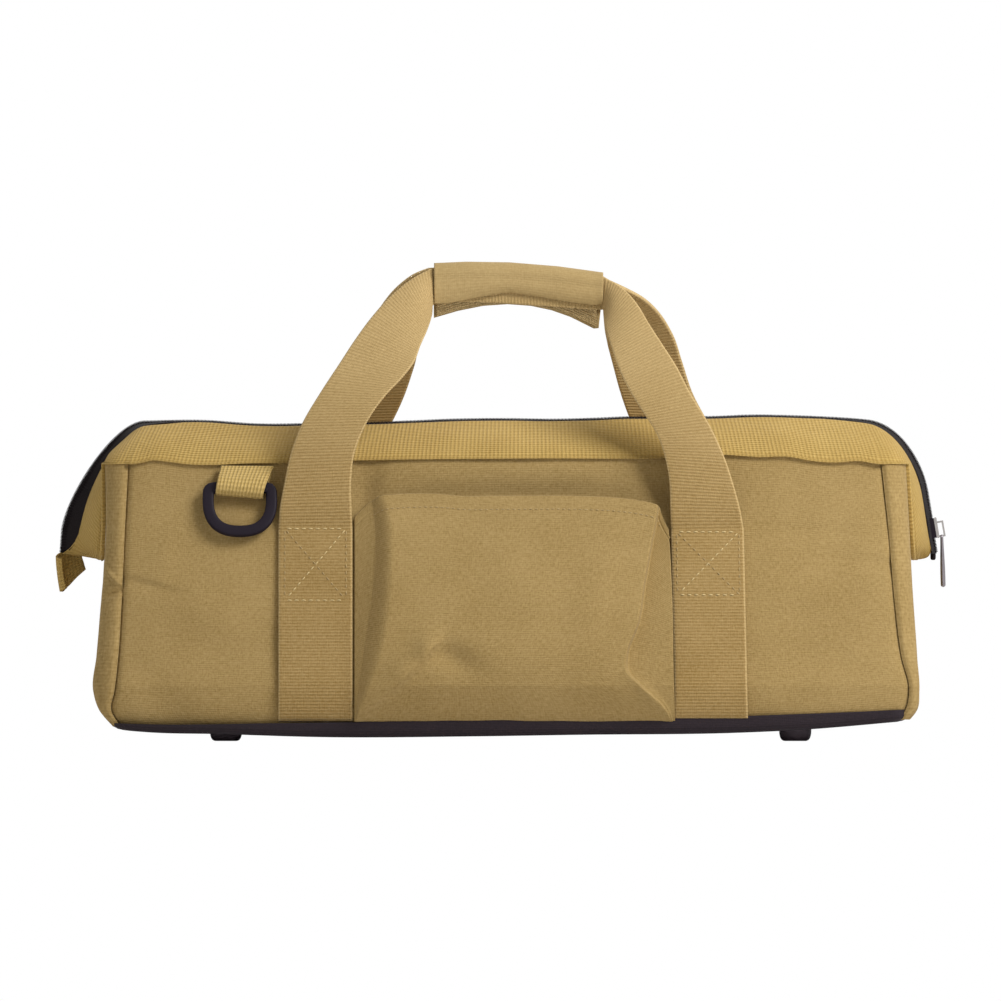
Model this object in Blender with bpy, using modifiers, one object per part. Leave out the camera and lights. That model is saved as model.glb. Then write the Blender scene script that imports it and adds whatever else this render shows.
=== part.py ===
"""A canvas tool bag with a framed mouth, modelled as separate pieces.

The bag's length runs along X, its front faces -Y, and it stands on four feet at z = 0.
Lengths are metres. The pieces that are cloth keep the plain shape of the sewn cloth.
"""

import math

import bmesh
import bpy
import numpy as np
from mathutils import Matrix, Vector

MM = 0.001

# Clearances
GAP = 0.3 * MM
OVERRUN = 4 * MM
MERGE = 0.05 * MM

# Cloth and webbing thicknesses
CANVAS = 1.8 * MM
TRIM = 1.5 * MM
WEBBING = 2.4 * MM
BASE_CLOTH = 2.2 * MM
BOARD = 3.5 * MM

# Body of the bag
HALF_LENGTH_TOP = 260 * MM
HALF_LENGTH_LOW = 268 * MM
HALF_DEPTH_TOP = 48 * MM
HALF_DEPTH_LOW = 100 * MM
CORNER_TOP = 16 * MM
CORNER_LOW = 8 * MM
FOOT_HEIGHT = 8 * MM
PANEL_BOTTOM = 14.4 * MM
FULLEST_HEIGHT = 36 * MM
PANEL_TOP = 181.5 * MM
TAPER_TOP = 183 * MM
PANEL_BELLY = 3 * MM
NOTCH_BOTTOM = 119 * MM
NOTCH_SPREAD_SHARE = 0.9
BOTTOM_TUCK = 7 * MM
TRIM_PUFF_TOP = 2 * MM
TRIM_PUFF_END = 6 * MM

# Zip line, seen from the front
ZIP_TOP = 208.5 * MM
ZIP_HALF_TOP = 235 * MM
ZIP_LOW_END = 122 * MM
ZIP_RIGHT_BEND_X = 275 * MM
ZIP_RIGHT_BEND_Z = 162 * MM
ZIP_RIGHT_LEAN = math.radians(9.5)
ZIP_LEFT_BEND_X = 288.5 * MM
ZIP_LEFT_BEND_Z = 136 * MM
ZIP_LEFT_LEAN = math.radians(3)
ZIP_BEND_HANDLE = 21 * MM
ZIP_STATIC_TOP = 167 * MM
TAPE_HALF = 12 * MM
TAPE = 0.9 * MM
TAPE_DROP = 2.2 * MM
TAPE_DROP_LEFT = 11.5 * MM
TOOTH_PITCH = 8 * MM
TOOTH_HEIGHT = 2 * MM
TOOTH_WIDTH = 3.2 * MM
TOOTH_REACH = 0.7 * MM
ZIP_END_ROOM = 2 * MM
ROUTE_STEP = 1.8 * MM

# Zip slider and its puller
SLIDER_HEIGHT = 138.5 * MM
SLIDER_LENGTH = 13.5 * MM
SLIDER_PLATE = 1.6 * MM
CHANNEL_HALF = 5.8 * MM
FLANGE = 0.9 * MM
POST_HALF = 0.8 * MM
BAIL_RISE = 4.0 * MM
BAIL_THICK = 1.2 * MM
BAIL_HALF = 0.9 * MM
PULL_THICK = 1.2 * MM
PULL_BAR = 1.3 * MM
PULL_LENGTH = 31 * MM
PULL_HALF_TOP = 2.6 * MM
PULL_HALF_LOW = 4 * MM

# Steel frame in the mouth
FRAME_ROD = 4 * MM
FRAME_INSET_RIGHT = 13 * MM
FRAME_INSET_LEFT = 19 * MM
FRAME_SIDE_TOP = 9.6 * MM
PIVOT_HEIGHT = 126 * MM
EYE_RADIUS = 5.6 * MM
RIVET_SHAFT = 3.6 * MM
RIVET_HEAD = 8 * MM
RIVET_HEAD_THICK = 1.2 * MM

# Handle straps and grip
STRAP_WIDTH = 49 * MM
STITCH_TOP = 139 * MM
LEG_LEFT_X = -123.5 * MM
LEG_RIGHT_X = 132.5 * MM
LEG_RIGHT_LEAN = 1.6 * MM
GRIP_LEFT_X = -47 * MM
GRIP_RIGHT_X = 64 * MM
GRIP_HEIGHT = 296.5 * MM
GRIP_RIGHT_DROP = 5 * MM
GRIP_BOW = 1.2 * MM
FOLDED_WIDTH = 24 * MM
FOLDED_THICK = 5 * MM
LOOP_SPLIT = 0.5 * MM
GRIP_CLOTH = 1.8 * MM
GRIP_ROOM = 0.9 * MM
TAIL_DROP = 21.5 * MM

# Small pieces
FEET_LEFT_X = -182 * MM
FEET_RIGHT_X = 188 * MM
FEET_Y = 68 * MM
FOOT_RADIUS = 10.5 * MM
FOOT_STEM = 2.5 * MM
WASHER_RADIUS = 8 * MM
WASHER_THICK = 1.5 * MM
RING_X = -173 * MM
RING_HALF_WIDTH = 20.6 * MM
RING_ROD = 3.4 * MM
RING_FLAT = 0.78
RING_DROP = 29 * MM
RING_BAR_HEIGHT = 164.5 * MM
RING_CORNER = 2.5 * MM
RING_SHOULDER = 8 * MM
TAB_HALF_WIDTH = 16.5 * MM
TAB_TOP = 180 * MM
END_TAB_WIDTH = 22 * MM
END_TAB_DROP = 23 * MM
END_TAB_SPREAD = 12.5 * MM
END_STOP = 3 * MM
POCKET_TOP = 161 * MM
POCKET_TAPER = 3.2 * MM
POCKET_DEPTH = 15 * MM
POCKET_CORNER_DROP = 12 * MM
INNER_POCKET_TOP = 110 * MM
INNER_POCKET_SEAM = 38 * MM
INNER_POCKET_HALF = 225 * MM
INNER_POCKET_DEPTH = 16 * MM
INNER_POCKET_CELLS = 4

TAN = (0.42, 0.33, 0.18, 1)
TAN_LIGHT = (0.50, 0.38, 0.19, 1)
BLACK = (0.03, 0.022, 0.025, 1)
STEEL = (0.45, 0.45, 0.47, 1)
LINING = (0.07, 0.065, 0.06, 1)


# Scene and materials


def clear_scene():
    for thing in list(bpy.data.objects):
        bpy.data.objects.remove(thing, do_unlink=True)
    for old in list(bpy.data.collections):
        bpy.data.collections.remove(old)


def new_collection(name):
    made = bpy.data.collections.new(name)
    bpy.context.scene.collection.children.link(made)
    return made


def material(name, colour, roughness, metallic=0.0):
    made = bpy.data.materials.get(name) or bpy.data.materials.new(name)
    made.use_nodes = True
    shader = made.node_tree.nodes["Principled BSDF"]
    shader.inputs["Base Color"].default_value = colour
    shader.inputs["Roughness"].default_value = roughness
    shader.inputs["Metallic"].default_value = metallic
    made.diffuse_color = colour
    return made


def canvas_material():
    return material("tan_canvas", TAN, 0.9)


def webbing_material():
    return material("tan_webbing", TAN_LIGHT, 0.85)


def black_cloth_material():
    return material("black_cloth", BLACK, 0.8)


def plastic_material():
    return material("black_plastic", BLACK, 0.4)


def steel_material():
    return material("steel", STEEL, 0.3, 1.0)


# Builders that several pieces use


def place(mesh, name, look, smooth=True):
    """Links a mesh as a named object of the bag."""
    made = bpy.data.objects.new(name, mesh)
    bpy.data.collections["tool_bag"].objects.link(made)
    mesh.materials.clear()
    mesh.materials.append(look)
    if smooth:
        mesh.shade_smooth()
        mesh.set_sharp_from_angle(angle=math.radians(35))
    return made


def loft(name, rings):
    """A closed solid through rings of equally many points, with a flat cap at both ends."""
    count = len(rings[0])
    points = [tuple(p) for ring in rings for p in ring]
    faces = [tuple(reversed(range(count)))]
    for r in range(len(rings) - 1):
        for i in range(count):
            j = (i + 1) % count
            a, b = r * count, (r + 1) * count
            faces.append((a + i, a + j, b + j, b + i))
    faces.append(tuple(range(len(points) - count, len(points))))
    mesh = bpy.data.meshes.new(name)
    mesh.from_pydata(points, [], faces)
    outward(mesh)
    return mesh


def outward(mesh):
    """Turns every face of a closed mesh to the outside."""
    work = bmesh.new()
    work.from_mesh(mesh)
    bmesh.ops.recalc_face_normals(work, faces=work.faces)
    if work.calc_volume(signed=True) < 0:
        bmesh.ops.reverse_faces(work, faces=work.faces)
    work.to_mesh(mesh)
    work.free()


def cloth(name, rows, thickness, look, toward):
    """A sheet through a grid of points, thickened to the side that faces the point toward."""
    height, width = len(rows), len(rows[0])
    points = [tuple(p) for row in rows for p in row]
    faces = []
    for r in range(height - 1):
        for c in range(width - 1):
            a = r * width + c
            faces.append((a, a + 1, a + width + 1, a + width))
    mesh = bpy.data.meshes.new(name)
    mesh.from_pydata(points, [], faces)
    middle = mesh.polygons[len(faces) // 2 + width // 2 - 1]
    if middle.normal.dot(Vector(toward) - middle.center) > 0:
        mesh.flip_normals()
    made = place(mesh, name, look)
    thick = made.modifiers.new("thickness", "SOLIDIFY")
    thick.thickness = thickness
    thick.offset = -1
    return made


def turned(name, profile, look, steps=16):
    """A turned piece: (radius, height) points down its outer side, from axis to axis."""
    mesh = bpy.data.meshes.new(name)
    points = [(radius, 0, height) for radius, height in profile]
    mesh.from_pydata(points, [(i, i + 1) for i in range(len(points) - 1)], [])
    made = place(mesh, name, look, smooth=False)
    screw = made.modifiers.new("turn", "SCREW")
    screw.steps = steps
    screw.render_steps = steps
    screw.use_merge_vertices = True
    screw.merge_threshold = MERGE
    screw.use_smooth_shade = True
    return made


def baked(made):
    """Replaces an object's mesh with its evaluated one."""
    depsgraph = bpy.context.evaluated_depsgraph_get()
    mesh = bpy.data.meshes.new_from_object(made.evaluated_get(depsgraph))
    made.modifiers.clear()
    made.data = mesh
    return made


def rod(name, points, radius, look, closed=False, sides=2):
    """A bent rod along points, made a welded mesh so that it can be joined and cut."""
    curve = bpy.data.curves.new(name, "CURVE")
    curve.dimensions = "3D"
    curve.bevel_depth = radius
    curve.bevel_resolution = sides
    curve.use_fill_caps = True
    spline = curve.splines.new("POLY")
    spline.points.add(len(points) - 1)
    for target, p in zip(spline.points, points):
        target.co = (*p, 1)
    spline.use_cyclic_u = closed
    holder = bpy.data.objects.new(name + "_curve", curve)
    bpy.data.collections["tool_bag"].objects.link(holder)
    depsgraph = bpy.context.evaluated_depsgraph_get()
    mesh = bpy.data.meshes.new_from_object(holder.evaluated_get(depsgraph))
    bpy.data.objects.remove(holder)
    work = bmesh.new()
    work.from_mesh(mesh)
    bmesh.ops.remove_doubles(work, verts=work.verts, dist=MERGE)
    work.to_mesh(mesh)
    work.free()
    outward(mesh)
    return place(mesh, name, look)


def boolean(made, other, kind):
    """Joins or cuts a piece with a helper shape, which then goes to the cutters."""
    for owner in list(other.users_collection):
        owner.objects.unlink(other)
    bpy.data.collections["cutters"].objects.link(other)
    other.hide_render = True
    other.display_type = "WIRE"
    step = made.modifiers.new(kind.lower(), "BOOLEAN")
    step.operation = kind
    step.object = other
    step.solver = "EXACT"


def cylinder_x(name, centre, radius, length, look, sides=16):
    """A cylinder whose axis runs along X."""
    work = bmesh.new()
    bmesh.ops.create_cone(
        work, cap_ends=True, segments=sides, radius1=radius, radius2=radius, depth=length,
        matrix=Matrix.Translation(centre) @ Matrix.Rotation(math.pi / 2, 4, "Y"),
    )
    mesh = bpy.data.meshes.new(name)
    work.to_mesh(mesh)
    work.free()
    return place(mesh, name, look)


def block(name, low, high, look):
    """A box between two corners."""
    work = bmesh.new()
    centre = [(a + b) / 2 for a, b in zip(low, high)]
    size = [b - a for a, b in zip(low, high)]
    scale = Matrix.Diagonal((*size, 1))
    bmesh.ops.create_cube(work, size=1, matrix=Matrix.Translation(centre) @ scale)
    mesh = bpy.data.meshes.new(name)
    work.to_mesh(mesh)
    work.free()
    return place(mesh, name, look, smooth=False)


def mix(a, b, share):
    return a + (b - a) * share


def eased(share):
    share = min(1, max(0, share))
    return share * share * (3 - 2 * share)


# Shape of the body, outside


def rise_share(z):
    """0 where the body is fullest, 1 at the height where its taper ends under the trim."""
    return max(0, (z - FULLEST_HEIGHT) / (TAPER_TOP - FULLEST_HEIGHT))


def tuck(z):
    """How far the rounded bottom edge draws in below the fullest height."""
    low = max(0, (FULLEST_HEIGHT - z) / (FULLEST_HEIGHT - FOOT_HEIGHT))
    return BOTTOM_TUCK * low ** 3


def half_length(z):
    return mix(HALF_LENGTH_LOW, HALF_LENGTH_TOP, rise_share(z) ** 0.6) - tuck(z)


def half_depth(z):
    belly = PANEL_BELLY * math.sin(math.pi * rise_share(z))
    return mix(HALF_DEPTH_LOW, HALF_DEPTH_TOP, rise_share(z)) + belly - tuck(z)


def corner(z):
    return mix(CORNER_LOW, CORNER_TOP, rise_share(z))


def seam(z):
    return half_length(z) - corner(z)


def end_point(side, across, z):
    """A point on an end panel: across runs from -1 at the front seam to 1 at the back."""
    straight = half_depth(z) - corner(z)
    reach = abs(across) * (straight + corner(z) * math.pi / 2)
    turn = max(0, reach - straight) / corner(z)
    x = seam(z) + corner(z) * math.cos(turn)
    y = min(reach, straight) + corner(z) * math.sin(turn)
    return side * x, math.copysign(y, across), z


def notch(across):
    """Height of the end panel's top edge, which is cut down in its middle."""
    share = min(1, abs(across) / NOTCH_SPREAD_SHARE)
    return mix(NOTCH_BOTTOM, PANEL_TOP, share ** 2.6)


# Shape of the zip line


def bezier(a, b, c, d, steps):
    made = []
    for i in range(steps + 1):
        t = i / steps
        u = 1 - t
        made.append(a * u ** 3 + b * 3 * u * u * t + c * 3 * u * t * t + d * t ** 3)
    return made


def zip_end(bend_x, bend_z, lean):
    """One end of the zip line in X and Z, from the straight top run down to its end."""
    down = np.array([math.sin(lean), -math.cos(lean)])
    start = np.array([ZIP_HALF_TOP, ZIP_TOP])
    bend = np.array([bend_x, bend_z])
    flat = np.array([ZIP_BEND_HANDLE, 0])
    made = bezier(start, start + flat, bend - down * ZIP_BEND_HANDLE, bend, 12)
    made.append(bend + down * (bend_z - ZIP_LOW_END) / math.cos(lean))
    return made


def zip_line():
    """The zip's outer line from the right end over the top to the left end."""
    right = zip_end(ZIP_RIGHT_BEND_X, ZIP_RIGHT_BEND_Z, ZIP_RIGHT_LEAN)
    left = zip_end(ZIP_LEFT_BEND_X, ZIP_LEFT_BEND_Z, ZIP_LEFT_LEAN)
    return np.array(right[::-1] + [p * np.array([-1, 1]) for p in left])


class Route:
    """A line in X and Z that can be read at any length along it."""

    def __init__(self, points):
        self.points = np.array(points)
        steps = np.linalg.norm(np.diff(self.points, axis=0), axis=1)
        self.lengths = np.concatenate([[0], np.cumsum(steps)])
        self.length = self.lengths[-1]

    def at(self, length):
        return np.array([np.interp(length, self.lengths, self.points[:, k]) for k in (0, 1)])

    def normal(self, length):
        """The outward normal at a length, over a short stretch so that it turns evenly."""
        ahead = self.at(min(length + ROUTE_STEP, self.length))
        behind = self.at(max(length - ROUTE_STEP, 0))
        along = (ahead - behind) / np.linalg.norm(ahead - behind)
        return np.array([along[1], -along[0]])

    def where_z(self, z, side):
        """The length at which the line passes a height, on one side of the bag."""
        for a, b, start, end in zip(self.points, self.points[1:], self.lengths, self.lengths[1:]):
            if (a[0] + b[0]) * side > 0 and min(a[1], b[1]) <= z <= max(a[1], b[1]) and a[1] != b[1]:
                return start + (end - start) * (z - a[1]) / (b[1] - a[1])
        raise ValueError("the zip line does not reach this height")


ZIP = Route(zip_line())
ZIP_STATIC_END = ZIP.where_z(ZIP_STATIC_TOP, 1)
ZIP_LEFT_STATIC = ZIP.where_z(ZIP_STATIC_TOP, -1)


def tape_drop(length):
    """How far the tape falls away from the zip line at its edge; most at the left end."""
    x = ZIP.at(length)[0]
    share = (-x - ZIP_HALF_TOP * 0.96) / (ZIP_LEFT_BEND_X - ZIP_HALF_TOP * 0.96)
    return mix(TAPE_DROP, TAPE_DROP_LEFT, eased(share))


def on_zip(length, y, depth):
    """A point beside the zip line: y across it and depth inward from its outer line."""
    x, z = ZIP.at(length) - ZIP.normal(length) * depth
    return x, y, z


def tape_level(length, beside):
    """Depth of the tape's outer face below the zip line, at a distance beside its middle."""
    return TOOTH_HEIGHT + GAP + tape_drop(length) * beside / TAPE_HALF


# Body pieces


def even(low, high, count):
    return [mix(low, high, i / (count - 1)) for i in range(count)]


END_COLUMN_SHARES = (0.15, 0.3, 0.45, 0.6, 0.72, 0.79, 0.86, 0.93, 1)
PANEL_ROW_SHARES = (0, 0.04, 0.085, 0.14, 0.28, 0.45, 0.63, 0.82, 1)


def side_panel(name, side):
    """Front or back canvas panel, between the end panels' seams."""
    rows = []
    for share in PANEL_ROW_SHARES:
        z = mix(PANEL_BOTTOM, PANEL_TOP, share)
        reach = seam(z) - 3 * GAP
        rows.append([(x, side * half_depth(z), z) for x in even(-reach, reach, 10)])
    return cloth(name, rows, CANVAS, canvas_material(), (0, 0, PANEL_BOTTOM))


def end_panel(name, side):
    """End canvas panel with its rounded corners and its cut-down top edge."""
    acrosses = [-a for a in reversed(END_COLUMN_SHARES)] + [0] + list(END_COLUMN_SHARES)
    rows = []
    for share in PANEL_ROW_SHARES:
        rows.append([end_point(side, a, mix(PANEL_BOTTOM, notch(a), share)) for a in acrosses])
    return cloth(name, rows, CANVAS, canvas_material(), (0, 0, PANEL_BOTTOM))


def rounded_rectangle(half_x, half_y, radius, z, arc=4):
    points = []
    for sx, sy, start in ((1, 1, 0), (-1, 1, 90), (-1, -1, 180), (1, -1, 270)):
        for i in range(arc + 1):
            angle = math.radians(start + 90 * i / arc)
            x = sx * (half_x - radius) + radius * math.cos(angle)
            y = sy * (half_y - radius) + radius * math.sin(angle)
            points.append((x, y, z))
    return points


def base_panel():
    """Black base cloth: a shallow tray whose rim meets the canvas panels."""
    rim = PANEL_BOTTOM - GAP
    floor = FOOT_HEIGHT + GAP
    heights = [rim, mix(rim, floor, 0.5), floor + BASE_CLOTH * 0.35, floor]
    insets = [0, BASE_CLOTH * 0.3, BASE_CLOTH * 1.4, BASE_CLOTH * 3]
    outside = [
        rounded_rectangle(half_length(rim) - i, half_depth(rim) - i, corner(rim), z)
        for z, i in zip(heights, insets)
    ]
    inside = [
        rounded_rectangle(
            half_length(rim) - i - BASE_CLOTH, half_depth(rim) - i - BASE_CLOTH,
            corner(rim) - BASE_CLOTH, max(z, floor + BASE_CLOTH),
        )
        for z, i in zip(heights[:2] + [floor + BASE_CLOTH], insets[:3])
    ]
    return place(loft("base_panel", outside[::-1] + inside), "base_panel", black_cloth_material())


def base_board():
    """Stiff board that lies on the base cloth and carries the feet's stems."""
    low = FOOT_HEIGHT + BASE_CLOTH + 2 * GAP
    edge = 3 * BASE_CLOTH + CANVAS
    outline = [
        rounded_rectangle(half_length(low) - edge, half_depth(low) - edge, corner(low), z)
        for z in (low, low + BOARD)
    ]
    made = place(loft("base_board", outline), "base_board", plastic_material())
    made.data.materials[0] = material("fibre_board", LINING, 0.9)
    return made


def foot_places():
    for x, where in ((FEET_LEFT_X, "left"), (FEET_RIGHT_X, "right")):
        for y, face in ((-FEET_Y, "front"), (FEET_Y, "back")):
            yield x, y, f"{face}_{where}"


def drill(made, x, y, radius, low, high):
    cutter = turned(
        f"{made.name}_hole", [(0, high), (radius, high), (radius, low), (0, low)],
        steel_material(), 12,
    )
    cutter.location = (x, y, 0)
    boolean(made, baked(cutter), "DIFFERENCE")


def foot(name, x, y, stem_top):
    """A rubber foot: a flat-bottomed dome with a stem through the base."""
    r, h = FOOT_RADIUS, FOOT_HEIGHT
    profile = [
        (0, stem_top), (FOOT_STEM, stem_top), (FOOT_STEM, h), (r, h), (r * 0.99, h * 0.6),
        (r * 0.93, h * 0.22), (r * 0.8, h * 0.04), (r * 0.72, 0), (0, 0),
    ]
    made = turned(name, profile, plastic_material(), 16)
    made.location = (x, y, 0)
    return made


def washer(name, x, y, low):
    """A washer that holds a foot's stem on the board."""
    outer, inner = WASHER_RADIUS, FOOT_STEM + GAP
    top = low + WASHER_THICK
    profile = [(inner, top), (outer * 0.9, top), (outer, top - WASHER_THICK / 3), (outer, low),
               (inner, low), (inner, top)]
    made = turned(name, profile, steel_material(), 16)
    made.location = (x, y, 0)
    return made


def base_and_feet():
    panel, board = base_panel(), base_board()
    low = FOOT_HEIGHT + GAP
    board_top = FOOT_HEIGHT + BASE_CLOTH + 2 * GAP + BOARD
    stem_top = board_top + WASHER_THICK + 3 * GAP
    for x, y, where in foot_places():
        drill(panel, x, y, FOOT_STEM + GAP, low - OVERRUN, board_top + OVERRUN)
        drill(board, x, y, FOOT_STEM + GAP, low - OVERRUN, board_top + OVERRUN)
        foot(f"foot_{where}", x, y, stem_top)
        washer(f"foot_washer_{where}", x, y, board_top + GAP)


# Trim round the mouth


SEAM_START_SHARE = 0.1


def seam_line(side):
    """The canvas edge that the trim is sewn to, right end to left end, in three runs."""
    ends = [SEAM_START_SHARE, *END_COLUMN_SHARES]
    right = [end_point(1, side * a, notch(a)) for a in ends]
    left = [end_point(-1, side * a, notch(a)) for a in reversed(ends)]
    top = [(x, side * half_depth(PANEL_TOP), PANEL_TOP)
           for x in even(seam(PANEL_TOP), -seam(PANEL_TOP), 14)]
    return right, top, left


def resampled(points, count):
    points = np.array(points)
    lengths = np.concatenate([[0], np.cumsum(np.linalg.norm(np.diff(points, axis=0), axis=1))])
    wanted = np.linspace(0, lengths[-1], count)
    return [np.array([np.interp(w, lengths, points[:, k]) for k in range(3)]) for w in wanted]


def trim_band(name, side):
    """Ribbed trim from the canvas edge up to the zip, wrapped round both ends of the mouth."""
    corners = [i for i, p in enumerate(ZIP.points) if abs(abs(p[0]) - ZIP_HALF_TOP) < GAP]
    marks = [0, ZIP.lengths[corners[0]], ZIP.lengths[corners[-1]], ZIP.length]
    rows = []
    for run, (start, end), count in zip(
        seam_line(side), zip(marks, marks[1:]), (15, 14, 15)
    ):
        lower = resampled(run, count)
        for i, length in enumerate(even(start, end, count)):
            if rows and i == 0:
                continue
            y = side * (TAPE_HALF + TRIM / 2 + 2 * GAP)
            upper = np.array(on_zip(length, y, tape_level(length, TAPE_HALF) - TAPE / 2))
            across = upper - lower[i]
            across /= np.linalg.norm(across)
            low_edge = lower[i] + across * (TRIM + 4 * GAP)
            middle = abs(length / ZIP.length - 0.5) * 2
            puff = mix(TRIM_PUFF_TOP, TRIM_PUFF_END, eased((middle - 0.6) / 0.4))
            row = []
            for share in even(0, 1, 5):
                swell = puff * math.sin(math.pi * share)
                centre = mix(low_edge, upper, share)
                outward_x, outward_z = ZIP.normal(length)
                lift = np.array([outward_x * 0.4, side * 0.9, outward_z * 0.4])
                row.append(centre + lift * swell)
            rows.append(row)
    return cloth(name, rows, TRIM, webbing_material(), (0, 0, PIVOT_HEIGHT))


# Zip


def zip_stations(start, end):
    """The line's own bends between two lengths, with some more on its straight stretches."""
    marks = [start, end] + [m for m in ZIP.lengths if start + GAP < m < end - GAP]
    marks = sorted(marks)
    made = [marks[0]]
    for mark in marks[1:]:
        made += even(made[-1], mark, 2 + int((mark - made[-1]) / (6 * TOOTH_PITCH)))[1:]
    return made


def zip_tape(name, side, start, end, spread=lambda length: 0):
    """Half of the zip's tape as one thin strip."""
    rings = []
    for length in zip_stations(start, end):
        near = 2 * GAP + spread(length)
        across = (near, near + TOOTH_WIDTH, TAPE_HALF)
        top = [on_zip(length, side * y, tape_level(length, y)) for y in across]
        under = [on_zip(length, side * y, tape_level(length, y) + TAPE) for y in across]
        rings.append(top + under[::-1])
    return place(loft(name, rings), name, black_cloth_material())


def zip_teeth(name, side, start, end, spread=lambda length: 0):
    """Half of the chain: teeth that reach over the middle line into the other half's gaps."""
    count = round((end - start) / (TOOTH_PITCH / 2)) + 1
    rings = []
    for i, length in enumerate(even(start, end, count)):
        tip = side if i % 2 else -side
        inner = GAP / 2 + tip * TOOTH_REACH + spread(length)
        outer = TOOTH_WIDTH + spread(length)
        height = TOOTH_HEIGHT * (1 if tip < 0 else 0.6)
        rings.append([
            on_zip(length, side * inner, tape_level(length, inner) - GAP),
            on_zip(length, side * outer, tape_level(length, outer) - GAP),
            on_zip(length, side * outer, tape_level(length, outer) - GAP - height),
            on_zip(length, side * inner, tape_level(length, inner) - GAP - height),
        ])
    return place(loft(name, rings), name, black_cloth_material())


def zip_spread(length):
    """How far the two halves part below the slider's post."""
    z = ZIP.at(length)[1]
    return (POST_HALF + 2 * GAP + TOOTH_REACH) * eased((SLIDER_HEIGHT - z) / (SLIDER_LENGTH * 0.3))


def zip_pieces():
    for side, face in ((-1, "front"), (1, "back")):
        start, end = ZIP_STATIC_END + 2 * GAP, ZIP_LEFT_STATIC - 2 * GAP
        zip_tape(f"{face}_zip_tape", side, start, end)
        zip_teeth(f"{face}_zip_teeth", side, start, end)
        zip_tape(f"{face}_right_zip_end_tape", side, 0, ZIP_STATIC_END, zip_spread)
        zip_teeth(f"{face}_right_zip_end_teeth", side, ZIP_END_ROOM, ZIP_STATIC_END - 2 * GAP, zip_spread)
        zip_tape(f"{face}_left_zip_end_tape", side, ZIP_LEFT_STATIC, ZIP.length)
        zip_teeth(f"{face}_left_zip_end_teeth", side, ZIP_LEFT_STATIC, ZIP.length)


def slider_frame():
    """The matrix that lays the slider on the zip: its X is outward and its Z runs up the zip."""
    length = ZIP.where_z(SLIDER_HEIGHT, 1)
    x, z = ZIP.at(length)
    return Matrix.Translation((x, 0, z)) @ Matrix.Rotation(-ZIP_RIGHT_LEAN, 4, "Y")


def moved(made, matrix):
    made.data.transform(matrix)
    return made


def zip_slider():
    """Slider body with its side flanges, post and bail, built upright and then laid on the zip."""
    half = SLIDER_LENGTH / 2
    wide = CHANNEL_HALF + FLANGE
    top = GAP + SLIDER_PLATE
    tape_low = tape_level(0, wide) + TAPE + GAP
    look = plastic_material()
    body = block("zip_slider", (GAP, -wide, -half), (top, wide, half), look)
    edges = body.modifiers.new("edges", "BEVEL")
    edges.width = SLIDER_PLATE / 4
    edges.segments = 1
    baked(body)
    for side in (-1, 1):
        low, high = sorted((side * CHANNEL_HALF, side * wide))
        reach = tape_level(0, CHANNEL_HALF) - GAP
        flange = block(
            f"flange_{side}", (-reach, low, -half + GAP),
            (GAP + SLIDER_PLATE / 2, high, half - GAP), look,
        )
        boolean(body, flange, "UNION")
    back = block(
        "back_plate", (-tape_low - SLIDER_PLATE * 0.8, -wide * 0.85, -half),
        (-tape_low, wide * 0.85, half), look,
    )
    boolean(body, back, "UNION")
    post = block(
        "post", (-tape_low - SLIDER_PLATE / 2, -POST_HALF, -half + GAP),
        (GAP + SLIDER_PLATE / 2, POST_HALF, -half + SLIDER_LENGTH * 0.22), look,
    )
    boolean(body, post, "UNION")
    bail_low, bail_high = -half * 0.95, half * 0.6
    outer = top + BAIL_RISE
    bail = block(
        "bail", (GAP + SLIDER_PLATE / 2, -BAIL_HALF, bail_low), (outer, BAIL_HALF, bail_high), look
    )
    boolean(body, bail, "UNION")
    room = block(
        "bail_room", (top, -BAIL_HALF - OVERRUN, bail_low + BAIL_THICK),
        (outer - BAIL_THICK, BAIL_HALF + OVERRUN, bail_high - BAIL_THICK), look,
    )
    boolean(body, room, "DIFFERENCE")
    baked(body)
    return moved(body, slider_frame())


def puller_axis():
    """Where the puller's bar lies in the bail, in the slider's own frame."""
    top = GAP + SLIDER_PLATE
    x = top + BAIL_RISE - BAIL_THICK - GAP - PULL_BAR / 2
    z = -SLIDER_LENGTH / 2 * 0.95 + BAIL_THICK + GAP + PULL_BAR / 2
    return slider_frame() @ Vector((x, 0, z))


def zip_puller():
    """A flat puller with a window at its top that the slider's bail passes through."""
    centre = puller_axis()
    outline = [
        (PULL_HALF_TOP, PULL_BAR / 2), (PULL_HALF_TOP, -PULL_LENGTH * 0.2),
        (PULL_HALF_LOW, -PULL_LENGTH * 0.75),
    ]
    for i in range(5):
        angle = math.radians(90 * (i + 1) / 5)
        outline.append((
            PULL_HALF_LOW * math.cos(angle),
            -PULL_LENGTH * 0.88 - PULL_LENGTH * 0.12 * math.sin(angle),
        ))
    outline += [(-y, z) for y, z in reversed(outline[:-1])]
    rings = [[(x, y, z) for y, z in outline] for x in (-PULL_THICK / 2, PULL_THICK / 2)]
    made = place(loft("zip_puller", rings), "zip_puller", steel_material())
    window = block(
        "puller_window", (-OVERRUN, -BAIL_HALF - 2 * GAP, -PULL_BAR / 2 - BAIL_THICK - BAIL_RISE * 0.65),
        (OVERRUN, BAIL_HALF + 2 * GAP, -PULL_BAR / 2), steel_material(),
    )
    boolean(made, window, "DIFFERENCE")
    baked(made)
    made.location = centre
    return made


END_TAB_SHARES = ((0, 0), (0.1, 0.45), (0.45, 0.83), (0.8, 0.99), (0.97, 0.97), (1, 0.83),
                  (0.97, 0.35), (0.8, 0))


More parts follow.
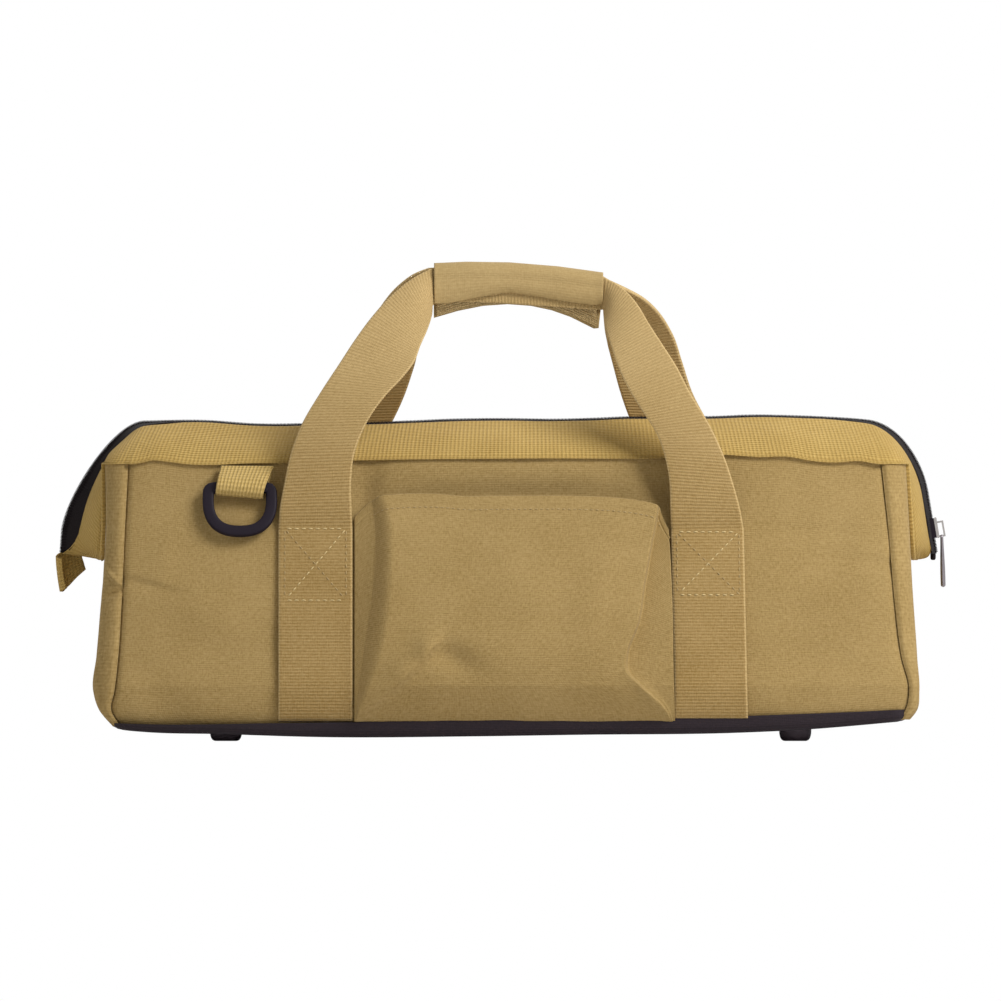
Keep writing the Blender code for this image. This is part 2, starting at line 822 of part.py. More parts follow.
def ribbon(name, path, half_width, thickness, look):
    """Webbing bent along a path in Y and Z, with its width along X."""
    path = [np.array(p) for p in path]
    rings = []
    for i, point in enumerate(path):
        along = path[min(i + 1, len(path) - 1)] - path[max(i - 1, 0)]
        along /= np.linalg.norm(along)
        side = np.array([-along[1], along[0]]) * thickness / 2
        rings.append([
            (x, *(point + side * sign))
            for x, sign in ((-half_width, 1), (half_width, 1), (half_width, -1), (-half_width, -1))
        ])
    return place(loft(name, rings), name, look)


def left_end_tab():
    """A folded webbing tab at the zip's left end, to hold while the zip is run."""
    top = ZIP_LOW_END - 3 * GAP
    path = [(out * END_TAB_SPREAD, -down * END_TAB_DROP) for out, down in END_TAB_SHARES]
    made = ribbon("left_end_tab", path, END_TAB_WIDTH / 2, TRIM, webbing_material())
    start = ZIP.at(ZIP.length)[0] + END_TAB_SPREAD
    turn = Matrix.Translation((start, 0, top)) @ Matrix.Rotation(math.pi / 2, 4, "Z")
    return moved(made, turn)


def zip_end_stop():
    """The stitched end that holds both tapes below the slider, no higher than the tapes' faces."""
    x, z = ZIP.at(0)
    half = TAPE_HALF * 0.6
    return block(
        "zip_end_stop", (x - 2 * END_STOP, -half, z - END_STOP - 5 * GAP),
        (x - tape_level(0, 0), half, z - 5 * GAP), black_cloth_material(),
    )


# Handle pieces


def leg_x(side, z):
    """Middle of a stitched leg: the right one leans a little."""
    if side < 0:
        return LEG_LEFT_X
    return LEG_RIGHT_X + LEG_RIGHT_LEAN * (1 - 2 * z / STITCH_TOP)


def leg_y(z):
    return half_depth(z) + 2 * GAP


def stitched_leg(name, side, face):
    """The stretch of webbing that is sewn to the panel, from the base up to the box stitch."""
    rings = []
    heights = [mix(PANEL_BOTTOM, PANEL_TOP, share) for share in PANEL_ROW_SHARES]
    for z in [h for h in heights if h < STITCH_TOP] + [STITCH_TOP]:
        x, near, far = leg_x(side, z), face * leg_y(z), face * (leg_y(z) + WEBBING)
        half = STRAP_WIDTH / 2
        rings.append([(x - half, near, z), (x + half, near, z), (x + half, far, z), (x - half, far, z)])
    return place(loft(name, rings), name, webbing_material())


RISE_SHARES = (0, 0.115, 0.28, 0.435, 0.565, 0.72, 0.855, 0.95, 1)
STAND_SHARES = (1, 0.965, 0.915, 0.865, 0.78, 0.62, 0.40, 0.18, 0.055)
WIDTH_SHARES = (1, 0.97, 0.92, 0.85, 0.78, 0.74, 0.68, 0.58, 0.49)
THICK_SHARES = (1, 1, 1, 1, 1.05, 1.2, 1.5, 1.9, 2.08)
FRONT_LEFT_RUN_SHARES = (0, 0.01, 0.05, 0.145, 0.294, 0.54, 0.74, 0.9, 1)
FRONT_RIGHT_RUN_SHARES = (0, 0.04, 0.12, 0.26, 0.42, 0.62, 0.77, 0.9, 1)
BACK_LEFT_RUN_SHARES = (0, 0.06, 0.22, 0.385, 0.47, 0.56, 0.68, 0.87, 1)
BACK_RIGHT_RUN_SHARES = (0, 0.08, 0.28, 0.45, 0.51, 0.56, 0.68, 0.88, 1)


def grip_z(x):
    """Height of the grip's middle line, which falls a little to the right."""
    share = (x - GRIP_LEFT_X) / (GRIP_RIGHT_X - GRIP_LEFT_X)
    bow = GRIP_BOW * math.sin(math.pi * min(1, max(0, share)))
    return GRIP_HEIGHT + bow - GRIP_RIGHT_DROP * eased(share)


def smooth_table(shares, values, wanted):
    """Reads a table with a smooth curve through its points."""
    shares, values = np.array(shares, float), np.array(values, float)
    slopes = np.gradient(values, shares)
    i = min(len(shares) - 2, max(0, int(np.searchsorted(shares, wanted, side="right")) - 1))
    width = shares[i + 1] - shares[i]
    t = (wanted - shares[i]) / width
    a, b = values[i], values[i + 1]
    ma, mb = slopes[i] * width, slopes[i + 1] * width
    return ((2 * t ** 3 - 3 * t * t + 1) * a + (t ** 3 - 2 * t * t + t) * ma
            + (3 * t * t - 2 * t ** 3) * b + (t ** 3 - t * t) * mb)


def strap_run(side, face, count):
    """Middle points, widths and thicknesses of a free strap from its stitching to the grip."""
    runs = {(-1, -1): FRONT_LEFT_RUN_SHARES, (1, -1): FRONT_RIGHT_RUN_SHARES,
            (-1, 1): BACK_LEFT_RUN_SHARES, (1, 1): BACK_RIGHT_RUN_SHARES}[(side, face)]
    start_z = STITCH_TOP + GAP
    start_x, end_x = leg_x(side, STITCH_TOP), GRIP_LEFT_X if side < 0 else GRIP_RIGHT_X
    middle = leg_y(STITCH_TOP) + WEBBING / 2
    made = []
    for share in even(0, 1, count):
        along = mix(share, math.sin(share * math.pi / 2), 0.35)
        x = mix(start_x, end_x, smooth_table(RISE_SHARES, runs, along))
        y = face * middle * smooth_table(RISE_SHARES, STAND_SHARES, along)
        z = mix(start_z, grip_z(end_x), along)
        width = STRAP_WIDTH * smooth_table(RISE_SHARES, WIDTH_SHARES, along)
        thick = WEBBING * smooth_table(RISE_SHARES, THICK_SHARES, along)
        made.append((np.array([x, y, z]), width, thick))
    return made


def handle_loop(name, face):
    """One handle of webbing, folded double where it goes through the grip."""
    y = face * (LOOP_SPLIT + FOLDED_THICK / 2)
    grip = [(np.array([x, y, grip_z(x)]), FOLDED_WIDTH, FOLDED_THICK)
            for x in even(GRIP_LEFT_X, GRIP_RIGHT_X, 9)]
    left, right = strap_run(-1, face, 15)[:-1], strap_run(1, face, 15)[:-1]
    stations = left + grip + right[::-1]
    middles = [s[0] for s in stations]
    rings = []
    for i, (middle, width, thick) in enumerate(stations):
        along = middles[min(i + 1, len(middles) - 1)] - middles[max(i - 1, 0)]
        if i in (0, len(stations) - 1):
            along = np.array([0, 0, 1.0 if i == 0 else -1.0])
        if len(left) <= i < len(left) + len(grip):
            along = np.array([1.0, 0, 0])
        across = np.cross(along, (0, 1, 0))
        across /= np.linalg.norm(across)
        depth = np.cross(across, along)
        depth /= np.linalg.norm(depth)
        w, d = across * width / 2, depth * thick / 2
        rings.append([middle - w - d, middle + w - d, middle + w + d, middle - w + d])
    return place(loft(name, rings), name, webbing_material())


def grip_stations():
    return even(GRIP_LEFT_X + GRIP_CLOTH, GRIP_RIGHT_X - GRIP_CLOTH, 9)


def grip_rows(profile):
    return [[(x, y, grip_z(x) + z) for y, z in profile(x)] for x in grip_stations()]


def tail_low(x):
    """Lower edge of the wrap's back tail: it curls lower towards both ends."""
    share = (x - GRIP_LEFT_X) / (GRIP_RIGHT_X - GRIP_LEFT_X)
    return -mix(0.65, 1, abs(2 * share - 0.9) ** 1.5) * TAIL_DROP


def flap_low(x):
    share = (x - GRIP_LEFT_X) / (GRIP_RIGHT_X - GRIP_LEFT_X)
    return -mix(0.5, 0.95, abs(2 * share - 0.9) ** 1.5) * FOLDED_WIDTH / 2


def grip_wrap():
    """Canvas wrap sewn to the back handle: its top, back and hanging tail."""
    side = LOOP_SPLIT + FOLDED_THICK + GRIP_ROOM + GRIP_CLOTH
    top = FOLDED_WIDTH / 2 + GRIP_ROOM + GRIP_CLOTH

    def profile(x):
        return [(GAP, top), (side * 0.72, top * 0.99), (side * 0.95, top * 0.88),
                (side, top * 0.65), (side, 0), (side, tail_low(x) * 0.6), (side * 0.97, tail_low(x))]

    return cloth("grip_wrap", grip_rows(profile), GRIP_CLOTH, canvas_material(),
                 (0, 0, GRIP_HEIGHT))


def grip_flap():
    """The wrap's front flap, which closes over the front handle."""
    side = LOOP_SPLIT + FOLDED_THICK + GRIP_ROOM + GRIP_CLOTH
    top = FOLDED_WIDTH / 2 + GRIP_ROOM + GRIP_CLOTH

    def profile(x):
        return [(-GAP, top), (-side * 0.72, top * 0.99), (-side * 0.95, top * 0.88),
                (-side, top * 0.65), (-side, 0), (-side, flap_low(x))]

    return cloth("grip_flap", grip_rows(profile), GRIP_CLOTH, canvas_material(),
                 (0, 0, GRIP_HEIGHT))


# Frame of the mouth


def pivot_x(side):
    """Middle of the two eyes at one end of the frame."""
    inset = FRAME_INSET_RIGHT if side > 0 else FRAME_INSET_LEFT
    return ZIP.at(ZIP.where_z(PIVOT_HEIGHT, side))[0] - side * inset


def eye_x(end_side, face):
    """Each bar's eye lies beside the other's: the front bar's is the inner one."""
    return pivot_x(end_side) + end_side * face * (FRAME_ROD + GAP) / 2


def frame_point(length, face):
    """Middle of the rod: close under the tape on top, drawn in to the eyes at both ends, and
    deeper at the right end, where the slider's back plate runs between it and the tape."""
    down = (ZIP_TOP - ZIP.at(length)[1]) / (ZIP_TOP - PIVOT_HEIGHT)
    beside = mix(FRAME_SIDE_TOP, FRAME_ROD / 2 + 2 * GAP, max(0, down))
    radius = FRAME_ROD / 2
    depth = tape_level(length, beside + radius) + TAPE + radius + 2 * GAP
    if ZIP.at(length)[0] > 0:
        depth += SLIDER_PLATE * eased((down - 0.3) / 0.2)
    x, y, z = on_zip(length, face * beside, depth)
    end_side = math.copysign(1, x)
    inward = max(0, abs(x) - abs(eye_x(end_side, face)))
    return x - end_side * inward * eased((down - 0.35) / 0.5), y, z


def frame_bar(name, face):
    """One half of the frame: a bent steel rod with a flat eye at each end."""
    start = ZIP.where_z(PIVOT_HEIGHT + EYE_RADIUS * 0.6, 1)
    end = ZIP.where_z(PIVOT_HEIGHT + EYE_RADIUS * 0.6, -1)
    points = [frame_point(length, face) for length in zip_stations(start, end)]
    made = rod(name, points, FRAME_ROD / 2, steel_material(), sides=1)
    for end_side in (1, -1):
        centre = (eye_x(end_side, face), 0, PIVOT_HEIGHT)
        eye = cylinder_x(f"{name}_eye", centre, EYE_RADIUS, FRAME_ROD, steel_material())
        boolean(made, eye, "UNION")
        hole = cylinder_x(
            f"{name}_hole", centre, RIVET_SHAFT / 2 + GAP, FRAME_ROD + OVERRUN, steel_material(), 12
        )
        boolean(made, hole, "DIFFERENCE")
    return baked(made)


def pivot_rivet(name, side):
    """The rivet that the two eyes turn on."""
    half = FRAME_ROD + GAP / 2 + GAP
    head, shaft = RIVET_HEAD / 2, RIVET_SHAFT / 2
    tip = half + RIVET_HEAD_THICK
    profile = [
        (0, tip), (head * 0.6, tip), (head, half + RIVET_HEAD_THICK * 0.4), (head, half),
        (shaft, half), (shaft, -half), (head, -half), (head, -half - RIVET_HEAD_THICK * 0.4),
        (head * 0.6, -tip), (0, -tip),
    ]
    made = turned(name, profile, steel_material(), 12)
    made.rotation_euler = (0, math.pi / 2, 0)
    made.location = (pivot_x(side), 0, PIVOT_HEIGHT)
    return made


# Pockets and ring


def pocket_depth_share(across, up):
    """How far the pocket stands off: nothing at its side seams, most at its creases."""
    edge = 1 - abs(2 * across - 1)
    side = eased(edge / 0.22)
    low = mix(0.12, 1, eased(up / 0.45))
    return side * low * mix(1, 0.8, max(0, up - 0.6) / 0.4)


def pocket_top(across):
    return POCKET_TOP - POCKET_CORNER_DROP * abs(2 * across - 1) ** 4


POCKET_ROW_SHARES = (0, 0.05, 0.1, 0.18, 0.35, 0.55, 0.78, 1)
POCKET_COLUMN_SHARES = (0, 0.05, 0.11, 0.17, 0.25, 0.4, 0.6, 0.75, 0.83, 0.89, 0.95, 1)


def front_pocket():
    """Bellows pocket between the handles: its sides pleat in to the panel."""
    rows = []
    for up in POCKET_ROW_SHARES:
        row = []
        for across in POCKET_COLUMN_SHARES:
            z = mix(PANEL_BOTTOM + GAP, pocket_top(across), up)
            beside = STRAP_WIDTH / 2 + 2 * GAP
            left = leg_x(-1, z) + beside
            right = leg_x(1, z) - beside - POCKET_TAPER * up
            x = mix(left, right, across)
            out = half_depth(z) + 4 * GAP + CANVAS + POCKET_DEPTH * pocket_depth_share(across, up)
            row.append((x, -out, z))
        rows.append(row)
    return cloth("front_pocket", rows, CANVAS, canvas_material(), (0, 0, PANEL_BOTTOM))


def inner_pockets(name, face):
    """A strip of open tool pockets on the inside of a panel, sewn down between its cells."""
    rows = []
    count = INNER_POCKET_CELLS * 4 + 1
    for up in even(0, 1, 4):
        row = []
        for i, x in enumerate(even(-INNER_POCKET_HALF, INNER_POCKET_HALF, count)):
            z = mix(INNER_POCKET_SEAM, INNER_POCKET_TOP, up)
            swell = math.sin(math.pi * (i % 4) / 4) * mix(0.5, 1, up)
            inside = half_depth(z) - CANVAS - 4 * GAP - INNER_POCKET_DEPTH * swell
            row.append((x, face * inside, z))
        rows.append(row)
    return cloth(name, rows, TRIM / 2, material("lining", LINING, 0.9), (0, face, PANEL_BOTTOM))


def ring_frame():
    """Lays the D-ring's own plane on the front panel: its Z runs up the panel."""
    z = RING_BAR_HEIGHT
    step = RING_DROP / 3
    slope = math.atan2(half_depth(z - step) - half_depth(z), step)
    out = half_depth(z) + TRIM + RING_ROD + 5 * GAP
    return Matrix.Translation((RING_X, -out, z)) @ Matrix.Rotation(-slope, 4, "X")


def d_ring():
    """D-shaped ring: a straight bar at the top and a bow below."""
    half, corner_cut, shoulder = RING_HALF_WIDTH, RING_CORNER, RING_SHOULDER
    points = [Vector((half - corner_cut, 0, 0)), Vector((half, 0, -corner_cut))]
    for i in range(11):
        angle = math.pi * i / 10
        drop = shoulder + (RING_DROP - shoulder) * math.sin(angle)
        points.append(Vector((half * math.cos(angle), 0, -drop)))
    points += [Vector((-half, 0, -corner_cut)), Vector((-half + corner_cut, 0, 0))]
    made = rod("d_ring", points, RING_ROD, plastic_material(), closed=True)
    flatten = Matrix.Diagonal((1, RING_FLAT, 1, 1))
    return moved(made, ring_frame() @ flatten)


def d_ring_tab():
    """Webbing folded round the ring's bar, its two layers sewn to the panel above it."""
    reach = RING_ROD + 2 * GAP + TRIM / 2
    front = reach - TRIM - GAP
    top = TAB_TOP - RING_BAR_HEIGHT
    path = [(reach, top), (reach, reach), (reach, 0)]
    for degrees in (-30, -60, -90, -120, -150, -180, -215):
        angle = math.radians(degrees)
        path.append((reach * math.cos(angle), reach * math.sin(angle)))
    path += [(front * 0.1, reach * 1.25), (front, reach * 1.8), (front, top)]
    made = ribbon("d_ring_tab", path, TAB_HALF_WIDTH, TRIM, webbing_material())
    return moved(made, ring_frame())


def build():
    clear_scene()
    new_collection("tool_bag")
    new_collection("cutters")
    for side, face in ((-1, "front"), (1, "back")):
        side_panel(f"{face}_panel", side)
        trim_band(f"{face}_trim_band", side)
        frame_bar(f"{face}_frame_bar", side)
        inner_pockets(f"{face}_inner_pockets", side)
        handle_loop(f"{face}_handle_loop", side)
        for where, name in ((-1, "left"), (1, "right")):
            stitched_leg(f"{face}_{name}_handle_leg", where, side)
    for side, name in ((-1, "left"), (1, "right")):
        end_panel(f"{name}_end_panel", side)
        pivot_rivet(f"{name}_pivot_rivet", side)
    base_and_feet()
    zip_pieces()
    zip_slider()
    zip_puller()
    grip_wrap()
    grip_flap()
    front_pocket()
    d_ring()
    d_ring_tab()
    left_end_tab()
    zip_end_stop()


build()
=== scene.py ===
import math

import bpy
import numpy as np
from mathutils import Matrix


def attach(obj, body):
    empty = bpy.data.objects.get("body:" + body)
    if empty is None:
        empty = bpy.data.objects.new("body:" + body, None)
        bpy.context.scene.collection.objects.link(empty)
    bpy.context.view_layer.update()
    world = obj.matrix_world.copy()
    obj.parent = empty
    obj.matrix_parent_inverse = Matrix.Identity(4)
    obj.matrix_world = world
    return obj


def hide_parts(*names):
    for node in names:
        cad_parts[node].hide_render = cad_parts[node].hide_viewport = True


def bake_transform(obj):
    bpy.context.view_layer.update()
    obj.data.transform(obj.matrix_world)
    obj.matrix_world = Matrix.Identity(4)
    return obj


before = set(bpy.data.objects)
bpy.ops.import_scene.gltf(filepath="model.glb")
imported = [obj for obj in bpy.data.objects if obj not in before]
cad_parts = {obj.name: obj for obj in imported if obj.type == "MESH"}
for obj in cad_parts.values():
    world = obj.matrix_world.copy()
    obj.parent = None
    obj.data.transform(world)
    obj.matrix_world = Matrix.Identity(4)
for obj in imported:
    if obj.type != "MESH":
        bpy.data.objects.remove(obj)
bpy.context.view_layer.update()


# Camera, lamps and floor.
# A level camera without perspective looks at the bag's front, as in the picture. A large lamp from
# the upper right does most of the lighting, and the pale room fills the rest.

# The picture's side in pixels, a pixel's size, and where the bag's middle and the floor lie in it.
PICTURE, PIXEL, MIDDLE_AT, FLOOR_AT = 1001, 0.00065, 506, 741

camera = bpy.data.cameras.new("camera")
camera.type = "ORTHO"
camera.ortho_scale = PICTURE * PIXEL
camera.clip_end = 20
viewer = bpy.data.objects.new("camera", camera)
viewer.location = ((PICTURE / 2 - MIDDLE_AT) * PIXEL, -4.0, (FLOOR_AT - PICTURE / 2) * PIXEL)
viewer.rotation_euler = (math.pi / 2, 0, 0)
bpy.context.scene.collection.objects.link(viewer)
bpy.context.scene.camera = viewer
bpy.context.scene.view_settings.view_transform = "Standard"

for lamp_name, place, size, power in (
    ("lamp_right", (1.22, -0.98, 1.52), 1.0, 42),
    ("lamp_left", (-2.9, -0.55, 1.1), 1.6, 7),
    ("lamp_back", (0.3, 2.2, 2.0), 1.6, 26),
):
    lamp = bpy.data.lights.new(lamp_name, "AREA")
    lamp.size = size
    lamp.energy = power
    holder = bpy.data.objects.new(lamp_name, lamp)
    holder.location = place
    holder.rotation_euler = holder.location.to_track_quat("Z", "Y").to_euler()
    bpy.context.scene.collection.objects.link(holder)


def add(tree, kind, settings=None, links=None):
    """Adds one node, sets its properties and sockets, and links other nodes' outputs to it."""
    node = tree.nodes.new(kind)
    for key, value in (settings or {}).items():
        if isinstance(key, str) and hasattr(node, key):
            setattr(node, key, value)
        else:
            node.inputs[key].default_value = value
    for key, source in (links or {}).items():
        tree.links.new(source, node.inputs[key])
    return node


world = bpy.data.worlds.new("pale_room")
world.use_nodes = True
bpy.context.scene.world = world
room = world.node_tree
room.nodes.clear()
ray = add(room, "ShaderNodeLightPath").outputs
direct = add(room, "ShaderNodeMath", {"operation": "MAXIMUM"},
             {0: ray["Is Camera Ray"], 1: ray["Is Glossy Ray"]})
seen = add(room, "ShaderNodeMath", {"operation": "MAXIMUM"},
           {0: direct.outputs[0], 1: ray["Is Transmission Ray"]})
fill = add(room, "ShaderNodeBackground", {"Color": (1.0, 0.97, 0.90, 1), "Strength": 0.37})
backdrop = add(room, "ShaderNodeBackground", {"Color": (1, 1, 1, 1), "Strength": 1.0})
either = add(room, "ShaderNodeMixShader", {},
             {0: seen.outputs[0], 1: fill.outputs[0], 2: backdrop.outputs[0]})
add(room, "ShaderNodeOutputWorld", {}, {0: either.outputs[0]})

floor_mesh = bpy.data.meshes.new("floor")
floor_mesh.from_pydata([(-5, -5, 0), (5, -5, 0), (5, 5, 0), (-5, 5, 0)], [], [(0, 1, 2, 3)])
floor = bpy.data.objects.new("floor", floor_mesh)
bpy.context.scene.collection.objects.link(floor)
floor_paint = bpy.data.materials.new("white_floor")
floor_paint.use_nodes = True
paint = floor_paint.node_tree.nodes["Principled BSDF"].inputs
paint["Base Color"].default_value = (0.9, 0.9, 0.9, 1)
paint["Roughness"].default_value = 0.9
floor_mesh.materials.append(floor_paint)


# Canvas body.
# Four panels of stout cotton canvas: a sloping front and back, and two ends with rounded corners
# whose top edge is cut down in the middle. They are sewn right sides together and turned.

MM = 0.001


def linear(hex_colour):
    """An sRGB hex colour as linear RGBA, by the standard curve with its straight foot."""
    share = np.array([int(hex_colour[i:i + 2], 16) for i in (1, 3, 5)]) / 255
    bent = np.where(share <= 0.04045, share / 12.92, ((share + 0.055) / 1.055) ** 2.4)
    return (*bent, 1.0)


def mix(a, b, share):
    """A value that goes straight from a to b as the share goes from 0 to 1."""
    return a + (b - a) * share


def eased(share):
    """A share from 0 to 1 that starts and ends level: 3t^2 - 2t^3, held outside."""
    share = np.clip(share, 0, 1)
    return share * share * (3 - 2 * share)


def bell(distance, reach):
    """A soft bump: 1 at distance 0, falling as exp(-(d/r)^2)."""
    return np.exp(-(distance / reach) ** 2)


def ripple(x, z, seed, size):
    """Slow unevenness of cloth: the mean of seven sine waves of about that size in random
    directions, from -1 to 1."""
    random = np.random.default_rng(seed)
    total = 0
    for turn, phase, stretch in random.uniform(0, 1, (7, 3)):
        angle = turn * 2 * math.pi
        wave = size * mix(0.6, 1.6, stretch)
        total = total + np.sin((x * math.cos(angle) + z * math.sin(angle)) * 2 * math.pi / wave
                               + phase * 2 * math.pi)
    return total / 7


def join(*parts):
    """Arrays, one for each coordinate, as one array of points."""
    return np.stack(np.broadcast_arrays(*parts), axis=-1)


def lengths(points):
    """Length along a line of points at each of them, from 0."""
    return np.concatenate([[0], np.cumsum(np.linalg.norm(np.diff(points, axis=0), axis=1))])


def places(points, run, at):
    """Places at the lengths given by at, along a line of points whose own lengths are run."""
    return np.stack([np.interp(at, run, column) for column in points.T], axis=-1)


def solid(name, points, faces, look):
    """A smooth mesh of points and faces, put into the scene."""
    mesh = bpy.data.meshes.new(name)
    mesh.from_pydata(points.reshape(-1, 3), [], faces)
    mesh.shade_smooth()
    mesh.materials.append(look)
    made = bpy.data.objects.new(name, mesh)
    bpy.context.scene.collection.objects.link(made)
    return made


def skin(name, points, cloth, look, body, wrap=False, thick=0.0, flip=False):
    """A mesh through a grid of points (rows, columns, 3). cloth holds each point's place on the
    flat cloth in metres (rows, columns, 2), with one column more where the grid wraps round.
    thick is a wall grown inward from it, and flip turns its faces over."""
    index = np.arange(points[..., 0].size).reshape(points.shape[:2])
    if wrap:
        index = np.concatenate([index, index[:, :1]], axis=1)
    here, ahead = slice(0, -1), slice(1, None)
    corners = [(here, here), (here, ahead), (ahead, ahead), (ahead, here)]
    if flip:
        corners = corners[::-1]
    faces = np.stack([index[c] for c in corners], axis=-1).reshape(-1, 4)
    spread = np.stack([cloth[c] for c in corners], axis=2).reshape(-1, 2)
    made = solid(name, points, faces, look)
    layer = made.data.uv_layers.new(name="cloth")
    layer.data.foreach_set("uv", spread.astype(np.float32).ravel())
    if thick:
        wall = made.modifiers.new("thickness", "SOLIDIFY")
        wall.thickness = thick
        wall.offset = -1
    if body:
        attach(made, body)
    return made


def flat_cloth(points):
    """Each grid point's place on the flat cloth: distances along the middle row and column."""
    rows, columns = points.shape[:2]
    u, v = lengths(points[rows // 2]), lengths(points[:, columns // 2])
    return join(*np.meshgrid(u - u.mean(), v))


def blank(name, rough, shine=0.5):
    """A new material, its node tree, its shader and the output that gives places on the object."""
    made = bpy.data.materials.new(name)
    made.use_nodes = True
    tree = made.node_tree
    shader = tree.nodes["Principled BSDF"]
    shader.inputs["Roughness"].default_value = rough
    shader.inputs["Specular IOR Level"].default_value = shine
    return made, tree, shader, add(tree, "ShaderNodeTexCoord").outputs["Object"]


def woven(name, dark, light, warp, weft, relief, grain=0.5, mottle=0.3, weave_tone=0.12,
          upright=0.35, selvedge=None, sewn=None, rough=0.9):
    """Woven cloth. Two sets of threads, of pitch warp and weft in mm, cross as sine waves and give
    the bump and a share of the tone, the warp with a weight of upright; stretched noise gives
    uneven yarns and broad noise gives patches. A selvedge, at its distance in mm from the middle
    of a strap, is paler. sewn gives two heights in mm for painted shade and light: below the first,
    on the stretch sewn to the panel, the strap is painted darker as shade, and above the second,
    where the free strap leans back towards the top lamp, it is painted paler as light."""
    made, tree, shader, place = blank(name, rough, 0.12)
    shader.inputs["Sheen Weight"].default_value = 0.05
    shader.inputs["Sheen Roughness"].default_value = 0.5
    cloth = add(tree, "ShaderNodeUVMap", {"uv_map": "cloth"}).outputs[0]
    parts = add(tree, "ShaderNodeSeparateXYZ", {}, {0: cloth})
    waves = []
    for axis, pitch in ((0, warp), (1, weft)):
        turn = 2 * math.pi / (pitch * MM)
        scaled = add(tree, "ShaderNodeMath", {"operation": "MULTIPLY", 1: turn},
                     {0: parts.outputs[axis]})
        waves.append(add(tree, "ShaderNodeMath", {"operation": "SINE"}, {0: scaled.outputs[0]}))
    weave = add(tree, "ShaderNodeMath", {"operation": "MULTIPLY_ADD", 1: upright},
                {0: waves[0].outputs[0], 2: waves[1].outputs[0]})
    yarns = []
    for scale in ((640, 1900, 1), (1900, 640, 1)):
        stretched = add(tree, "ShaderNodeMapping", {"Scale": scale}, {0: cloth})
        yarns.append(add(tree, "ShaderNodeTexNoise",
                         {"Scale": 0.5, "Detail": 2.0, "Roughness": 0.6},
                         {"Vector": stretched.outputs[0]}))
    patches = add(tree, "ShaderNodeTexNoise", {"Scale": 26.0, "Detail": 3.0, "Roughness": 0.55},
                  {"Vector": place})
    yarn_sum = add(tree, "ShaderNodeMath", {"operation": "ADD"},
                   {0: yarns[0].outputs[0], 1: yarns[1].outputs[0]})
    yarn_share = add(tree, "ShaderNodeMath", {"operation": "MULTIPLY_ADD", 1: grain, 2: -grain},
                     {0: yarn_sum.outputs[0]})
    patch_share = add(tree, "ShaderNodeMath",
                      {"operation": "MULTIPLY_ADD", 1: mottle, 2: 0.5 - mottle / 2},
                      {0: patches.outputs[0]})
    weave_share = add(tree, "ShaderNodeMath", {"operation": "MULTIPLY_ADD", 1: weave_tone},
                      {0: weave.outputs[0], 2: patch_share.outputs[0]})
    shade = add(tree, "ShaderNodeMath", {"operation": "ADD", "use_clamp": True},
                {0: yarn_share.outputs[0], 1: weave_share.outputs[0]})
    if selvedge:
        away = add(tree, "ShaderNodeMath", {"operation": "ABSOLUTE"}, {0: parts.outputs[0]})
        edge = add(tree, "ShaderNodeMath", {"operation": "GREATER_THAN", 1: selvedge * MM},
                   {0: away.outputs[0]})
        shade = add(tree, "ShaderNodeMath",
                    {"operation": "MULTIPLY_ADD", 1: 0.4, "use_clamp": True},
                    {0: edge.outputs[0], 2: shade.outputs[0]})
    # Painted shade and light by height: the colour is darker low on a strap and paler high up.
    if sewn:
        at = add(tree, "ShaderNodeSeparateXYZ", {}, {0: place})
        painted_height_shade = add(tree, "ShaderNodeMapRange",
                    {1: sewn[0] * MM, 2: sewn[1] * MM, 3: -0.27, 4: 0.12}, {0: at.outputs[2]})
        shade = add(tree, "ShaderNodeMath", {"operation": "ADD", "use_clamp": True},
                    {0: painted_height_shade.outputs[0], 1: shade.outputs[0]})
    colour = add(tree, "ShaderNodeMix", {"data_type": "RGBA", 6: linear(dark), 7: linear(light)},
                 {0: shade.outputs[0]})
    tree.links.new(colour.outputs[2], shader.inputs["Base Color"])
    height = add(tree, "ShaderNodeMath", {"operation": "MULTIPLY_ADD", 1: 0.8},
                 {0: yarn_sum.outputs[0], 2: weave.outputs[0]})
    bump = add(tree, "ShaderNodeBump", {"Strength": 0.6, "Distance": relief * MM},
               {"Height": height.outputs[0]})
    tree.links.new(bump.outputs[0], shader.inputs["Normal"])
    return made


# Cotton duck, plain-woven from uneven yarns: a matt, slightly mottled surface. The real threads are
# 0.6 mm apart, too fine to show, so they are drawn 1.3 and 1.5 mm apart.
canvas = woven("cotton_canvas", "#7b6335", "#b49a68", 1.3, 1.5, 0.05, grain=0.75, mottle=0.4,
               weave_tone=0.05)


def through(at, knots, values):
    """A smooth curve through a table's rows: a Hermite curve whose slope at each row is the mean
    of those beside it."""
    knots, values = np.array(knots, float), np.array(values, float)
    slope = np.gradient(values, knots, axis=0)
    i = np.clip(np.searchsorted(knots, at, side="right") - 1, 0, len(knots) - 2)
    width = knots[i + 1] - knots[i]
    t = np.clip((at - knots[i]) / width, 0, 1)
    if values.ndim > 1:
        width, t = width[..., None], t[..., None]
    return ((2 * t ** 3 - 3 * t ** 2 + 1) * values[i] + (t ** 3 - 2 * t ** 2 + t) * slope[i] * width
            + (3 * t ** 2 - 2 * t ** 3) * values[i + 1] + (t ** 3 - t ** 2) * slope[i + 1] * width)


def rise(z):
    """0 where the body is fullest, 36 mm up, and 1 where its taper ends, 183 mm up."""
    return np.clip((z - 0.036) / 0.147, 0, None)


def tuck(z):
    """The rounded bottom edge draws in by 7 mm, with the cube of the way down."""
    return 0.007 * np.clip((0.036 - z) / 0.028, 0, None) ** 3


